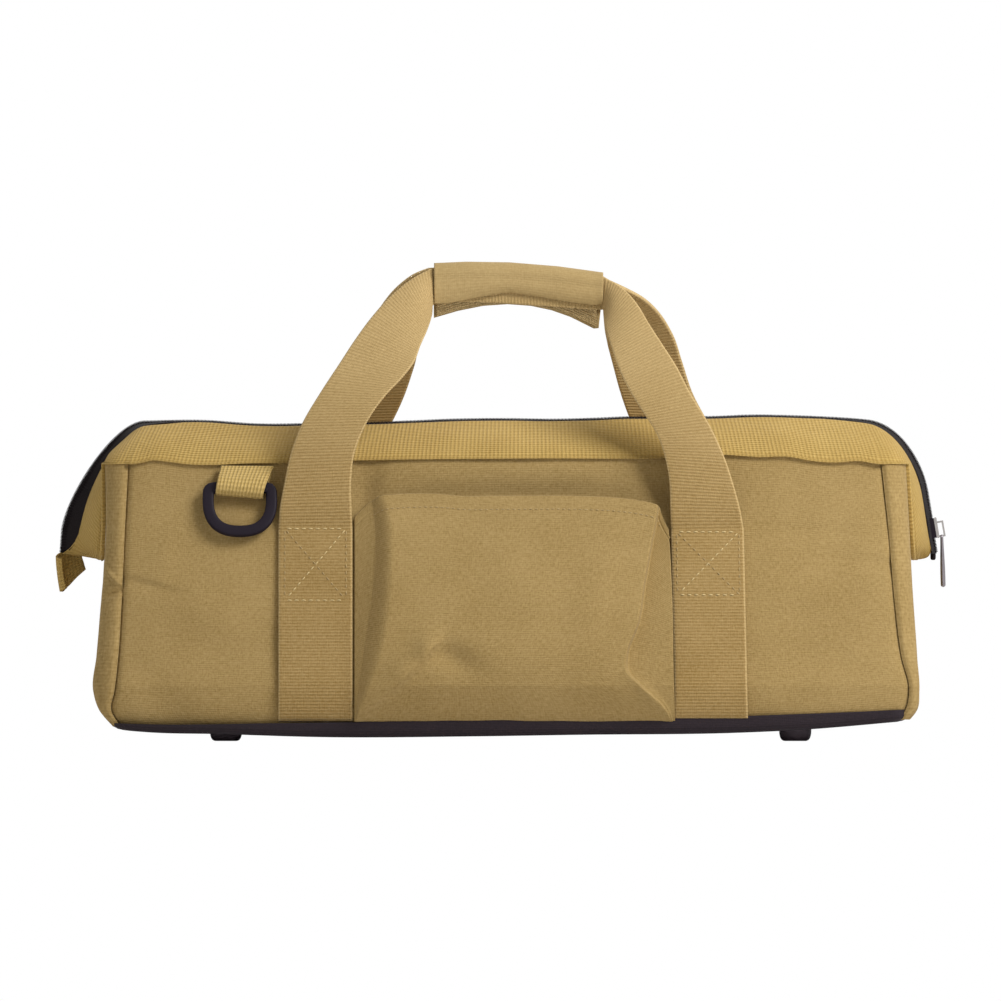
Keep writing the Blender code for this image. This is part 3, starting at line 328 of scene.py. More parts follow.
# Outline of the body in the picture at seven heights, in mm: how far the left and the right edge
# lie from the middle, and how far the left and the right upright seam do.
SIDE_Z = (8, 20, 32, 55, 90, 137, 184)
SIDE_X = ((254.0, 256.5, 249.5, 251.0), (264.0, 266.8, 256.6, 259.5), (268.0, 268.6, 254.6, 262.0),
          (266.2, 267.6, 252.0, 257.0), (263.1, 264.8, 249.8, 252.6), (260.2, 262.3, 247.7, 248.6),
          (260.6, 259.6, 245.2, 243.6))


def half_length(side, z):
    """Distance of the body's left (-1) or right (1) edge from the middle."""
    return through(z / MM, SIDE_Z, np.array(SIDE_X)[:, 0 if side < 0 else 1]) * MM


def seam(side, z):
    """Distance of the left or right upright seam from the middle."""
    return through(z / MM, SIDE_Z, np.array(SIDE_X)[:, 2 if side < 0 else 3]) * MM


def half_depth(z):
    """Half the body's depth: 100 mm low down to 48 mm at the top, with a 3 mm belly."""
    return mix(0.100, 0.048, rise(z)) + 0.003 * np.sin(np.pi * np.clip(rise(z), 0, 1)) - tuck(z)


# Hollows and folds of the front as they lie in the picture, in mm and degrees: x, z, angle of its
# line, half length, half width above and below the line, and depth (inward where positive).
FRONT_HOLLOWS = np.array([
    (14, 158, 0, 80, 12, 8, 6.4),
    (12, 179, 0, 80, 4, 5, -0.5),
    (-92, 160, 66, 18, 10, 8, 4.5),
    (101, 165, -50, 20, 9, 9, 4.2),
    (-232, 101, -14, 24, 3, 6, 2.0),
    (-221, 122, 78, 17, 8, 8, -1.2),
    (-205, 90, -30, 40, 12, 12, -1.3),
    (-175, 62, 12, 50, 16, 16, 1.5),
    (-225, 30, -50, 30, 12, 12, 1.6),
    (198, 136, 2, 30, 6, 8, 1.5),
    (240, 116, -3, 24, 5, 7, 1.6),
    (190, 96, -8, 45, 10, 10, -1.0),
    (200, 60, 10, 45, 12, 12, 1.2),
    (-190, 158, 0, 60, 10, 10, 1.0),
])


def hollows(x, z, table):
    """The sum of the table's hollows: each a bell along its own line and across it."""
    total = 0
    for at_x, at_z, angle, long, above, below, depth in table:
        c, s = math.cos(math.radians(angle)), math.sin(math.radians(angle))
        along = (x / MM - at_x) * c + (z / MM - at_z) * s
        across = (z / MM - at_z) * c - (x / MM - at_x) * s
        wide = np.where(across > 0, above, below)
        total = total + depth * MM * bell(along, long) * bell(across, wide)
    return total


def base_low(x):
    """Height of the underside: it sags between the feet, and is drawn up at both ends."""
    return through(x / MM, (-268, -249, -191, -124, -20, 50, 156, 201, 268),
                   (9.6, 7.4, 5.6, 3.7, 4.2, 5.2, 6.5, 8.5, 14.0)) * MM


# Height of the band's hem along the front, in mm.
HEM_X = (-262, -243, -230.8, -219.4, -205.4, -191, -170, -141.7, -97.5, -40, 22, 100, 142.4, 163.8,
         184.6, 198.9, 212.6, 234, 262)
HEM_Z = (179.2, 181.4, 182.7, 181.4, 179.7, 179.4, 180.3, 180.7, 182.3, 183.2, 183.6, 183.9, 185.9,
         184.6, 184.6, 182.0, 181.0, 182.7, 182.6)
CORNER_Z = 0.180


def hem_height(side, x):
    """Height of the hem: wavy at the front, 182 mm at the back, and 180 mm at the corners."""
    wavy = through(x / MM, HEM_X, HEM_Z) if side < 0 else 182.0 + 0 * x
    near = np.minimum(seam(1, CORNER_Z) - x, seam(-1, CORNER_Z) + x)
    return mix(CORNER_Z, wavy * MM, eased(near / 0.02))


CANVAS_WALL = 0.0016


def side_canvas(side):
    """Front (-1) or back (1) panel: x runs between the seams and z from the base to the hem, in
    which its edge leans out. y is half the depth, less the hollows, and it dips beside the seams,
    where the sewn edge pulls it in."""
    u, v = np.meshgrid(np.linspace(-1, 1, 361), np.linspace(0, 1, 151))
    top = hem_height(side, np.where(u < 0, u * seam(-1, CORNER_Z), u * seam(1, CORNER_Z))) + 0.0010
    z = mix(base_low(u * 0.256) + 0.0010, top, v)
    reach = np.where(u < 0, seam(-1, z), seam(1, z))
    x = u * reach
    beside = reach - np.abs(x)
    y = half_depth(z) - 0.0020 * bell(beside, 0.0022) - 0.0012 * bell(beside, 0.010)
    if side < 0:
        y = y - hollows(x, z, FRONT_HOLLOWS)
    y = y + 0.0006 * ripple(x, z, 3 + side, 0.075) + 0.0002 * ripple(x, z, 7 + side, 0.02)
    y = y + 0.0011 * eased((z - top + 0.0022) / 0.0020)
    return join(x, side * y, z)


for side, face in ((-1, "front"), (1, "back")):
    points = side_canvas(side)
    piece = skin(f"{face}_canvas", points, flat_cloth(points), canvas, "bag",
                 thick=CANVAS_WALL, flip=side > 0)
    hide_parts(f"{face}_panel")


def end_place(side, across, z):
    """A place on an end panel: across runs from -1 at the front seam to 1 at the back one, first
    round a corner, then straight."""
    corner = half_length(side, z) - seam(side, z)
    straight = half_depth(z) - corner
    reach = np.abs(across) * (straight + corner * math.pi / 2)
    turn = np.clip(reach - straight, 0, None) / corner
    x = seam(side, z) + corner * np.cos(turn)
    y = np.minimum(reach, straight) + corner * np.sin(turn)
    return side * x, np.sign(across) * y, turn


def notch(across):
    """Height of an end panel's top edge: level round the corner, and then cut down from 181.5 mm
    to 119 mm in its middle."""
    return mix(0.119, 0.1815, np.clip(np.abs(across) / 0.58, 0, 1) ** 4)


def end_canvas(side):
    """Left (-1) or right (1) end panel, pushed out and in along its own normal by the dip at the
    seams, a pucker by the front seam and slow ripples."""
    u, v = np.meshgrid(np.linspace(-1, 1, 321), np.linspace(0, 1, 141))
    z = mix(base_low(side * 0.262) + 0.0004, notch(u) - 0.0004, v)
    x, y, turn = end_place(side, u, z)
    beside = (1 - np.abs(u)) * (half_depth(z) + 0.008)
    sewn_top = eased((z - 0.105) / 0.025)
    push = -0.0020 * bell(beside, 0.0022) + 0.0007 * ripple(y, z, 11 + side, 0.07) * (1 - sewn_top)
    if side < 0:
        front = u < 0
        pinch = z - 0.1010 - beside * 0.8
        lower = z - 0.0975 + beside * 0.3
        push = push + front * (0.0028 * bell(pinch, 0.0017) - 0.0034 * bell(lower, 0.0020)
                               ) * bell(beside - 0.005, 0.008)
    push = push - 0.0030 * bell(np.abs(u), 0.45) * np.sin(np.pi * np.clip((z - 0.02) / 0.10, 0, 1))
    x = x + side * push * np.cos(turn)
    y = y + np.sign(u) * push * np.sin(turn)
    return join(x, y, z)


for side, end in ((-1, "left"), (1, "right")):
    points = end_canvas(side)
    piece = skin(f"{end}_canvas_end", points, flat_cloth(points), canvas, "bag",
                 thick=CANVAS_WALL, flip=side < 0)
    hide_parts(f"{end}_end_panel")


# Base.
# A tray of black coated cloth whose rim is sewn over the canvas with two rows of dark thread. It
# sags a little between the feet. A stiff fibre board lies in it.


def base_rim(x):
    """Height of the rim: it climbs from 12 mm at the left end to 20 mm at the right one."""
    return through(x / MM, (-268, -252, -146, -57, 22, 156, 201, 268),
                   (12.4, 11.5, 11.6, 13.0, 14.5, 16.3, 17.9, 20.8)) * MM


# The rim in plan: half its length and depth, its corners' radius, and how far right it lies; then
# the radius of the bend at the tray's lower edge.
RIM = (0.2577, half_depth(0.016) + 0.0009, 0.009)
RIM_SHIFT = 0.0029
BEND = 0.0035


def outline(half_x, half_y, radius, count):
    """A rounded rectangle, walked round at even lengths from its right side."""
    raw = []
    for quarter in range(4):
        angle = np.linspace(0, math.pi / 2, 40) + quarter * math.pi / 2
        sign_x, sign_y = (1, -1, -1, 1)[quarter], (1, 1, -1, -1)[quarter]
        raw.append(join(sign_x * (half_x - radius) + radius * np.cos(angle),
                        sign_y * (half_y - radius) + radius * np.sin(angle)))
    raw = np.concatenate(raw + [raw[0][:1]])
    run = lengths(raw)
    return places(raw, run, np.linspace(0, run[-1], count, endpoint=False)), run[-1]


def base_tray():
    """Rings from the rim down the outside, round the lower edge and in under the bag. The last
    one is small, and the hole that it leaves lies under the board."""
    count = 900
    ring, around = outline(*RIM, count)
    ring[:, 0] += RIM_SHIFT
    rings, down = [], []
    for share in np.linspace(0, 1, 7):
        low = base_low(ring[:, 0]) + BEND
        rings.append(np.column_stack([ring, mix(base_rim(ring[:, 0]), low, share)]))
        down.append(share * 0.008)
    for angle in np.radians([20, 45, 70, 90]):
        flat = ring * (1 - BEND * (1 - math.cos(angle)) / 0.09)
        height = base_low(ring[:, 0]) + BEND * (1 - math.sin(angle))
        rings.append(np.column_stack([flat, height]))
        down.append(0.008 + angle * BEND)
    for share in (0.9, 0.7, 0.5, 0.3, 0.1, 0.01):
        flat = ring * share
        rings.append(np.column_stack([flat, np.maximum(base_low(flat[:, 0]) + 0.001, BEND)]))
        down.append(0.014 + (1 - share) * 0.09)
    return np.array(rings), join(*np.meshgrid(np.linspace(0, around, count + 1), down))


# Coated base cloth: black with a brown cast, a fine even weave and a dull shine.
base_cloth = woven("coated_base_cloth", "#1d171b", "#332a30", 1.3, 1.3, 0.08, grain=0.5, rough=0.62)
points, cloth = base_tray()
piece = skin("base_cloth", points, cloth, base_cloth, "bag", wrap=True, thick=0.0012)
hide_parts("base_panel")


def bars(name, ring, look, flip=False):
    """Many short bars with closed ends as one mesh. ring holds their points by bar, station along
    it and place round it."""
    count, stations, sides = ring.shape[:3]
    s, i = np.meshgrid(np.arange(stations - 1), np.arange(sides), indexing="ij")
    ahead = (i + 1) % sides
    quads = np.stack([s * sides + i, (s + 1) * sides + i, (s + 1) * sides + ahead,
                      s * sides + ahead], axis=-1).reshape(-1, 4)
    near = np.arange(sides)
    far = near[::-1] + (stations - 1) * sides
    first = (np.arange(count) * stations * sides)[:, None]
    way = -1 if flip else 1
    faces = (first[:, None] + quads[:, ::way]).reshape(-1, 4).tolist()
    for cap in (near, far):
        faces += (first + cap[::way]).tolist()
    return solid(name, ring, faces, look)


def thread_row(name, path, normal, pitch, length, radius, look, body):
    """A row of stitches along a path: each is a thread of the given length that arches over the
    cloth and dives at both ends. A ring of six points is swept along five stations of every
    stitch at once."""
    run = lengths(path)
    starts = np.arange(pitch * 0.3, run[-1] - length, pitch)
    stations = np.linspace(0, 1, 5)
    at = starts[:, None] + stations * length
    centre, out = places(path, run, at), places(normal, run, at)
    out /= np.linalg.norm(out, axis=-1, keepdims=True)
    forward = np.gradient(centre, axis=1)
    forward /= np.linalg.norm(forward, axis=-1, keepdims=True)
    side_way = np.cross(forward, out)
    arch = np.sin(np.pi * stations)
    centre = centre + out * (radius * (1.6 * arch - 0.9))[:, None]
    thin = radius * (0.45 + 0.55 * arch)[:, None, None]
    angle = np.linspace(0, 2 * math.pi, 6, endpoint=False)[:, None]
    ring = centre[:, :, None, :] + thin * (out[:, :, None, :] * np.cos(angle)
                                           + side_way[:, :, None, :] * np.sin(angle))
    made = bars(name, ring, look, flip=True)
    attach(made, body)


def clouded(name, dark, light, rough, scale, detail, shine=0.5):
    """A finish whose colour drifts from dark to light with noise, by its scale per metre."""
    made, tree, shader, place = blank(name, rough, shine)
    cloud = add(tree, "ShaderNodeTexNoise", {"Scale": scale, "Detail": detail}, {"Vector": place})
    colour = add(tree, "ShaderNodeMix", {"data_type": "RGBA", 6: dark, 7: light},
                 {0: cloud.outputs[0]})
    tree.links.new(colour.outputs[2], shader.inputs["Base Color"])
    return made, tree, shader, place


def deeper(colour, share):
    """A colour, as linear RGBA, made darker by a share."""
    return tuple(c * share for c in linear(colour)[:3]) + (1,)


def thread_finish(name, colour):
    """Twisted thread: satin, with fine light and dark turns along it."""
    return clouded(name, deeper(colour, 0.7), linear(colour), 0.6, 1200.0, 1.0)[0]


dark_thread = thread_finish("dark_polyester_thread", "#15101a")
rim_line = outline(*RIM, 1500)[0]
outward = np.column_stack([np.sign(rim_line[:, 0]) * (np.abs(rim_line[:, 0]) > 0.2510),
                           np.sign(rim_line[:, 1]) * (np.abs(rim_line[:, 1]) > 0.0885),
                           np.zeros(len(rim_line))])
outward = np.where(np.linalg.norm(outward, axis=1, keepdims=True) == 0, (0, 1, 0), outward)
rim_line[:, 0] += RIM_SHIFT
for number, drop in enumerate((0.0018, 0.0048)):
    height = np.maximum(base_rim(rim_line[:, 0]) - drop,
                        base_low(rim_line[:, 0]) + 0.0045 - drop / 2)
    thread_row(f"base_stitches_{number + 1}", np.column_stack([rim_line, height]), outward, 0.0032,
               0.0024, 0.00028, dark_thread, "bag")

# Fibre board: pressed brown board with a fleck.
board = clouded("pressed_fibre_board", linear("#3f3328"), linear("#6b5844"), 0.85, 400.0, 4.0)[0]


def board_sheet():
    """The board: a flat sheet that lies on the base cloth and bends with its sag."""
    x, y = np.meshgrid(np.linspace(-0.2500, 0.2500, 60), np.linspace(-0.0865, 0.0865, 20))
    return join(x, y, base_low(x) + 0.0062)


points = board_sheet()
piece = skin("fibre_board", points, flat_cloth(points), board, "bag", thick=0.0032)
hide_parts("base_board")


# Feet.
# Moulded rubber studs with a rounded edge. Each has a stem that goes through the base and is held
# inside by a steel washer.


def moulded(name, colour, rough, grain=900.0, relief=0.03, shine=0.25):
    """Moulded plastic or rubber: one colour with a faint cloud and the fine grain of its mould."""
    made, tree, shader, place = clouded(name, deeper(colour, 0.75), linear(colour), rough, 60.0,
                                        3.0, shine)
    pits = add(tree, "ShaderNodeTexNoise", {"Scale": grain, "Detail": 2.0}, {"Vector": place})
    bump = add(tree, "ShaderNodeBump", {"Strength": 0.5, "Distance": relief * MM},
               {"Height": pits.outputs[0]})
    tree.links.new(bump.outputs[0], shader.inputs["Normal"])
    return made


def metal(name, colour, rough):
    """Rolled or cast metal: its own colour, with hairline scratches that spread the shine."""
    made, tree, shader, place = blank(name, rough)
    shader.inputs["Metallic"].default_value = 1.0
    shader.inputs["Base Color"].default_value = linear(colour)
    drawn = add(tree, "ShaderNodeMapping", {"Scale": (3000, 3000, 200)}, {0: place})
    lines = add(tree, "ShaderNodeTexNoise", {"Scale": 1.0, "Detail": 2.0},
                {"Vector": drawn.outputs[0]})
    spread = add(tree, "ShaderNodeMath", {"operation": "MULTIPLY_ADD", 1: 0.25, 2: rough - 0.1},
                 {0: lines.outputs[0]})
    tree.links.new(spread.outputs[0], shader.inputs["Roughness"])
    return made


rubber = moulded("moulded_rubber", "#665a63", 0.55)
bright_steel = metal("bright_zinc_steel", "#b9b6b4", 0.28)


def rolled(points, wide, tall):
    """The flat cloth of a grid that wraps round: both its sizes in metres, spread evenly."""
    rows, columns = points.shape[:2]
    return join(*np.meshgrid(np.linspace(0, wide, columns + 1), np.linspace(0, tall, rows)))


def lathe(profile, x, y, steps=40):
    """A profile of radii and heights turned about an upright axis: (x + r cos, y + r sin, z)."""
    radius, height = np.array(profile).T[:, :, None] * MM
    angle = np.linspace(0, 2 * math.pi, steps, endpoint=False)
    return join(x + radius * np.cos(angle), y + radius * np.sin(angle), height)


def dress(node, look):
    """Gives a CAD node its material in every slot."""
    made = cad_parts[node]
    if not made.material_slots:
        made.data.materials.append(look)
    for spot in made.material_slots:
        spot.material = look


FOOT_PROFILE = [(0.02, 16.6), (2.4, 16.6), (2.5, 16.2), (2.5, 8.6), (9.6, 8.4), (10.2, 8.1),
                (10.5, 7.4), (10.4, 5.2), (10.1, 3.4), (9.6, 1.9), (8.8, 0.8), (7.8, 0.2),
                (6.8, 0.0), (0.02, 0.0)]
for end, x in (("left", -0.182), ("right", 0.188)):
    for face, y in (("front", -0.068), ("back", 0.068)):
        points = lathe(FOOT_PROFILE, x, y)
        piece = skin(f"rubber_foot_{face}_{end}", points, rolled(points, 0.06, 0.03), rubber, "bag",
                     wrap=True, flip=True)
        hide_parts(f"foot_{face}_{end}")
        dress(f"foot_washer_{face}_{end}", bright_steel)


# Zip.
# A nylon coil zip on a woven tape, sewn along the frame. It runs over the top and droops down both
# ends, and on the left its tape hangs steeply so that its flat face shows from the front.


# The zip isn't quite level: how far in mm it stands above its straight line along the top.
WAVE_X = (-300, -243, -196, -160, -128, -62, -36, 0, 30, 61, 74, 139, 158, 178, 200, 223, 245, 300)
WAVE_Z = (0, 0, 0.5, -1.8, -1.5, 0.2, 1.3, 1.7, 1.3, 2.1, 2.7, 3.2, 4.0, 3.8, 3.1, 1.9, 0, 0)
# The straight line along the top: its height and half its length; and the zip's lowest point.
TOP_Z, TOP_END, ZIP_LOW = 0.2085, 0.235, 0.122


def zip_curve():
    """The zip's outer line in x and z, from the right end over the top to the left end: a cubic
    curve at each end from level to leaning, a straight stretch on the outside of each, and a
    slightly wavy one between them."""
    ends, handle_length = [], 0.021
    for bend, lean in (((0.275, 0.162), 9.5), ((0.2896, 0.136), 4.0)):
        down = np.array([math.sin(math.radians(lean)), -math.cos(math.radians(lean))])
        start, bend = np.array([TOP_END, TOP_Z]), np.array(bend)
        after, before = start + (handle_length, 0), bend - down * handle_length
        t = np.linspace(0, 1, 60)[:, None]
        curve = ((1 - t) ** 3 * start + 3 * (1 - t) ** 2 * t * after
                 + 3 * (1 - t) * t ** 2 * before + t ** 3 * bend)
        low = bend + down * (bend[1] - ZIP_LOW) / math.cos(math.radians(lean))
        level = mix(np.array([0.0, TOP_Z]), start, np.linspace(0, 1, 60)[1:-1, None])
        ends.append(np.concatenate([level, curve, mix(bend, low, np.linspace(0, 1, 30)[1:, None])]))
    line = np.concatenate([ends[0][::-1], ends[1] * (-1, 1)])
    return line + join(0, through(line[:, 0] / MM, WAVE_X, WAVE_Z) * MM)


ZIP_LINE = zip_curve()
ZIP_RUN = lengths(ZIP_LINE)


def zip_x(run):
    """How far right of the middle the zip is at a length along its line."""
    return np.interp(run, ZIP_RUN, ZIP_LINE[:, 0])


def on_zip(run, y, depth):
    """A place beside the zip: at a length along its line, y across it, and depth inward along the
    line's normal. The normal is taken over 8 mm, so that it turns evenly."""
    ahead = places(ZIP_LINE, ZIP_RUN, run + 0.004) - places(ZIP_LINE, ZIP_RUN, run - 0.004)
    ahead /= np.linalg.norm(ahead, axis=-1, keepdims=True)
    line = places(ZIP_LINE, ZIP_RUN, run)
    return join(line[..., 0] - ahead[..., 1] * depth, y, line[..., 1] + ahead[..., 0] * depth)


def tape_fall(run):
    """How far the tape falls away at its edge: 2.2 mm, growing to 11.5 mm at the left end and to
    3.4 mm at the right one."""
    x = zip_x(run)
    from_left, from_right = (-x - 0.2256) / 0.0629, (x - 0.2256) / 0.04
    return mix(0.0022, 0.0115, eased(from_left)) + 0.0012 * eased(from_right)


def zip_at_height(z, side):
    """Length along the zip at which it passes a height on one side."""
    half = ZIP_LINE[:, 0] * side > 0
    order = np.argsort(ZIP_LINE[half, 1])
    return np.interp(z, ZIP_LINE[half, 1][order], ZIP_RUN[half][order])


# The zip's ends bend from the bag to the mouth up to this height, and the slider sits at that one.
SEAM_HIGH, SLIDER_Z = 0.167, 0.1385
ZIP_TURN_RIGHT, ZIP_TURN_LEFT = zip_at_height(SEAM_HIGH, 1), zip_at_height(SEAM_HIGH, -1)
SLIDER_RUN = zip_at_height(SLIDER_Z, 1)


def parting(run):
    """The two halves part below the slider's post, by up to 2.1 mm each."""
    return 0.0021 * eased((SLIDER_RUN - run) / 0.004)


# Zip tape: black polyester with a close herringbone, here an even 1.2 mm weave.
tape_cloth = woven("polyester_zip_tape", "#0d0809", "#1b1416", 1.2, 1.2, 0.10, grain=0.6, rough=0.9)
# Coil: black nylon, whose turns hardly shine.
coil_nylon = moulded("nylon_coil", "#1b1517", 0.8, grain=2000.0, relief=0.01, shine=0.04)

# The band closes over the tape at the very bottom of the left end: share that shows by height.
CLOSING_Z, CLOSING = (120.5, 126, 130, 136), (0.08, 0.60, 0.82, 1.0)


def closing(run):
    """Share of the tape that stays in sight at a length along the zip."""
    height = np.interp(run, ZIP_RUN, ZIP_LINE[:, 1]) / MM
    return np.where(zip_x(run) < 0, np.interp(height, CLOSING_Z, CLOSING), 1)


def tape(side, start, end):
    """Half of the tape: across it runs from the coil to the sewn edge, where it falls away."""
    count = int((end - start) / 0.003) + 2
    run, t = np.meshgrid(np.linspace(start, end, count), np.linspace(0, 1, 9), indexing="ij")
    edge = mix(0.0068, 0.0128, eased((np.abs(zip_x(run)) - 0.215) / 0.03))
    edge = np.maximum(edge * closing(run), 0.0042)
    across = mix(0.0004, edge, t) + parting(run) * (1 - t)
    depth = 0.0009 + tape_fall(run) * (across / 0.012) + 0.0002 * np.sin(run * 210)
    return on_zip(run, side * across, depth), join(across, run)


def coil(name, side, start, end):
    """Half of the coil. Every turn is a bar across the tape, 0.9 mm thick, 2.2 mm high and 4.4 mm
    long, whose tip reaches 0.7 mm past the middle between two turns of the other half: a ring of
    eight points swept over five stations, for all turns at once."""
    pitch, half_thick, half_high = 0.0018, 0.00046, 0.0011
    run = np.arange(math.ceil(start / pitch) * pitch, end, pitch) + (pitch / 2 if side > 0 else 0)
    stations = np.array([0.0, 0.12, 0.5, 0.88, 1.0])
    swell = np.array([0.45, 0.9, 1.0, 0.9, 0.45])[:, None]
    across = mix(-0.0007, 0.0037, stations) + parting(run)[:, None]
    angle = np.linspace(0, 2 * math.pi, 8, endpoint=False)
    at = run[:, None, None] + half_thick * swell * np.cos(angle)
    fall = tape_fall(run)[:, None] * np.clip(across, 0, None) / 0.012
    depth = fall[..., None] + half_high * (1 - swell * np.sin(angle))
    ring = on_zip(at, side * across[..., None], depth)
    return bars(name, ring, coil_nylon, flip=side > 0)


for side, face in ((-1, "front"), (1, "back")):
    stretches = (
        ("", ZIP_TURN_RIGHT, ZIP_TURN_LEFT, f"{face}_zip"),
        ("_right_end", 0.0005, ZIP_TURN_RIGHT, f"{face}_right_zip_end"),
        ("_left_end", ZIP_TURN_LEFT, ZIP_RUN[-1] - 0.0005, f"{face}_left_zip_end"),
    )
    for where, start, end, node in stretches:
        points, cloth = tape(side, start, end)
        ribbon = skin(f"{face}_tape{where}", points, cloth, tape_cloth, None, thick=0.0008,
                      flip=side < 0)
        teeth = coil(f"{face}_coil{where}", side, start, end)
        for piece, kind, finish in ((ribbon, "tape", "black_cloth"),
                                    (teeth, "teeth", "black_plastic")):
            if where:
                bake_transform(piece)
            else:
                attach(piece, f"mouth_{face}")
            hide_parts(f"{node}_{kind}")

# Slider: die-cast zinc, black on its body, and bright on the bail, which stands out beyond a plane
# that leans with the zip.
BAIL_X, ZIP_LEAN = 0.2790, 0.1673
cast_black = metal("black_nickel_zinc", "#3a3538", 0.35)
cast = cast_black.node_tree
cast_place = add(cast, "ShaderNodeTexCoord").outputs["Object"]
cast_parts = add(cast, "ShaderNodeSeparateXYZ", {}, {0: cast_place})
slant = add(cast, "ShaderNodeMath", {"operation": "MULTIPLY_ADD", 1: ZIP_LEAN},
            {0: cast_parts.outputs[2], 2: cast_parts.outputs[0]})
on_bail = add(cast, "ShaderNodeMath",
              {"operation": "GREATER_THAN", 1: BAIL_X + ZIP_LEAN * SLIDER_Z},
              {0: slant.outputs[0]})
cast_tone = add(cast, "ShaderNodeMix",
                {"data_type": "RGBA", 6: linear("#29242a"), 7: linear("#a5a19f")},
                {0: on_bail.outputs[0]})
cast.links.new(cast_tone.outputs[2], cast.nodes["Principled BSDF"].inputs["Base Color"])
dress("zip_slider", cast_black)

# Puller: nickelled steel, worn bright.
nickel = metal("nickelled_steel", "#857f83", 0.34)


def squared(wave, power):
    """A sine or cosine drawn towards a square wave: its sign times |w|^p."""
    return np.sign(wave) * np.abs(wave) ** power


def puller_tongue():
    """The puller: a long rounded tongue that hangs from the bail. Its section is a flat ring with
    rounded edges, 7.2 mm wide at the top and 6 mm in its waist, and it thickens from 2 mm at the
    bail to 3.2 mm at its tip."""
    down = np.linspace(0, 1, 50)[:, None]
    angle = np.linspace(0, 2 * math.pi, 28, endpoint=False)[None]
    past = np.clip(np.abs(down - 0.5) - 0.44, 0, None) / 0.06
    cap = np.sqrt(np.clip(1 - past ** 2, 0, 1)) + 0.01
    wide = mix(0.0036, 0.0030, np.sin(np.pi * down)) * cap
    thick = mix(0.0010, 0.0016, eased(down * 1.3)) * cap ** 0.5
    x = 0.2832 + 0.0010 * down + thick * squared(np.sin(angle), 0.7)
    return join(x, wide * squared(np.cos(angle), 0.6), mix(0.1345, 0.1000, down))


points = puller_tongue()
piece = skin("zip_puller_tongue", points, rolled(points, 0.02, 0.031), nickel, "puller", wrap=True)
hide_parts("zip_puller")


def tape_stop():
    """The stop: a doubled bit of black tape sewn across both tape ends, as a flat rounded bar."""
    across = np.linspace(-1, 1, 24)[:, None]
    angle = np.linspace(0, 2 * math.pi, 24, endpoint=False)[None]
    cap = np.sqrt(np.clip(1 - across ** 6, 0, 1)) + 0.01
    return join(0.2776 + 0.0018 * cap * squared(np.cos(angle), 0.6), 0.0073 * across,
                0.1203 + 0.0027 * cap * squared(np.sin(angle), 0.6))


points = tape_stop()
piece = skin("tape_stop", points, rolled(points, 0.014, 0.0146), tape_cloth, "bag", wrap=True,
             flip=True)
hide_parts("zip_end_stop")


# Band round the mouth.
# A wide waffle-woven cotton band, sewn over the canvas edge along its turned hem and up to the zip.
# It carries the frame inside, and at each end it wraps round into a drooping ear.


def walked(points, count):
    """A line of points walked at even lengths."""
    run = lengths(points[:, :3])
    return places(points, run, np.linspace(0, run[-1], count))


# How much of the zip shows above the band, in mm, at places along it.
SHOWN_X = (-300, -288, -282, -269, -255, -231, -210, 205, 232, 250, 265, 300)
SHOWN = (12.8, 12.6, 10.9, 7.7, 6.5, 3.9, 2.6, 2.6, 3.3, 4.5, 5.4, 5.4)


def band(side):
    """The band: its lower edge follows the canvas edge, with a wavy hem at the front, its upper
    edge lies on the tape, and it bulges between them over the frame's rod. The first rows are the
    hem, a raised roll that is turned under and stands out along the canvas's own normal."""
    share = np.linspace(0.03, 1, 300)
    lower = []
    for end in (1, -1):
        a = share if end > 0 else share[::-1]
        z = notch(a)
        x, y, turn = end_place(end, a, z)
        lower.append(join(x + end * 0.0008, y * side, z - 0.0015, end * np.cos(turn),
                          side * np.sin(turn)))
    x = np.linspace(seam(1, CORNER_Z), -seam(-1, CORNER_Z), 400)
    dip = hem_height(side, x)
    top = join(x, side * (half_depth(dip) + 0.0012), dip, 0, side)
    counts = (110, 330, 110)
    lower = np.concatenate([walked(line, count)[min(i, 1):] for i, (line, count) in
                            enumerate(zip((lower[0], top, lower[1]), counts))])
    lower, out_x, out_y = lower[:, :3], lower[:, 3], lower[:, 4]
    marks = np.interp([TOP_END, -TOP_END], ZIP_LINE[::-1, 0], ZIP_RUN[::-1])
    run = np.concatenate([np.linspace(0.0030, marks[0], counts[0]),
                          np.linspace(marks[0], marks[1], counts[1])[1:],
                          np.linspace(marks[1], ZIP_RUN[-1], counts[2])[1:]])
    shown = np.interp(zip_x(run) / MM, SHOWN_X, SHOWN) * MM * closing(run)
    across = np.clip(0.012 * (shown - 0.0012) / tape_fall(run), 0.0050, 0.0128)
    upper = on_zip(run, side * across, shown - 0.0006)
    middle = np.abs(run / ZIP_RUN[-1] - 0.5) * 2
    ear = eased((middle - 0.66) / 0.22)
    t = np.linspace(0, 1, 37)[:, None, None]
    rod = mix(0.0030, 0.0042, ear)[:, None] * np.sin(np.pi * t ** 0.8)
    lift = join(np.sign(lower[:, 0]) * ear * 0.8, side * (1 - 0.35 * ear), 0.5 - 0.3 * ear)
    slack = 0.0005 * ripple(run[None, :, None], t * 0.05, 21 + side, 0.05)
    points = mix(lower, upper, t) + lift * (rod + slack)
    points[..., 2] -= 0.0024 * np.sin(np.pi * t[..., 0]) * bell(run, 0.012)
    off = join(out_x, out_y, 0)
    away = upper - lower
    away /= np.linalg.norm(away, axis=1, keepdims=True)
    hem = np.stack([lower + off * out * MM + away * up * MM for out, up in (
        (-1.5, 2.4), (-0.9, 0.4), (0.6, -0.1), (1.7, 0.3), (2.0, 1.1), (1.7, 1.9), (1.0, 2.6))])
    across = np.concatenate([[-0.008, -0.006, -0.005, -0.004, -0.003, -0.002, -0.001],
                             np.linspace(0.001, 0.046, 33)])
    return np.concatenate([hem, points[4:]]), join(*np.meshgrid(run, across))


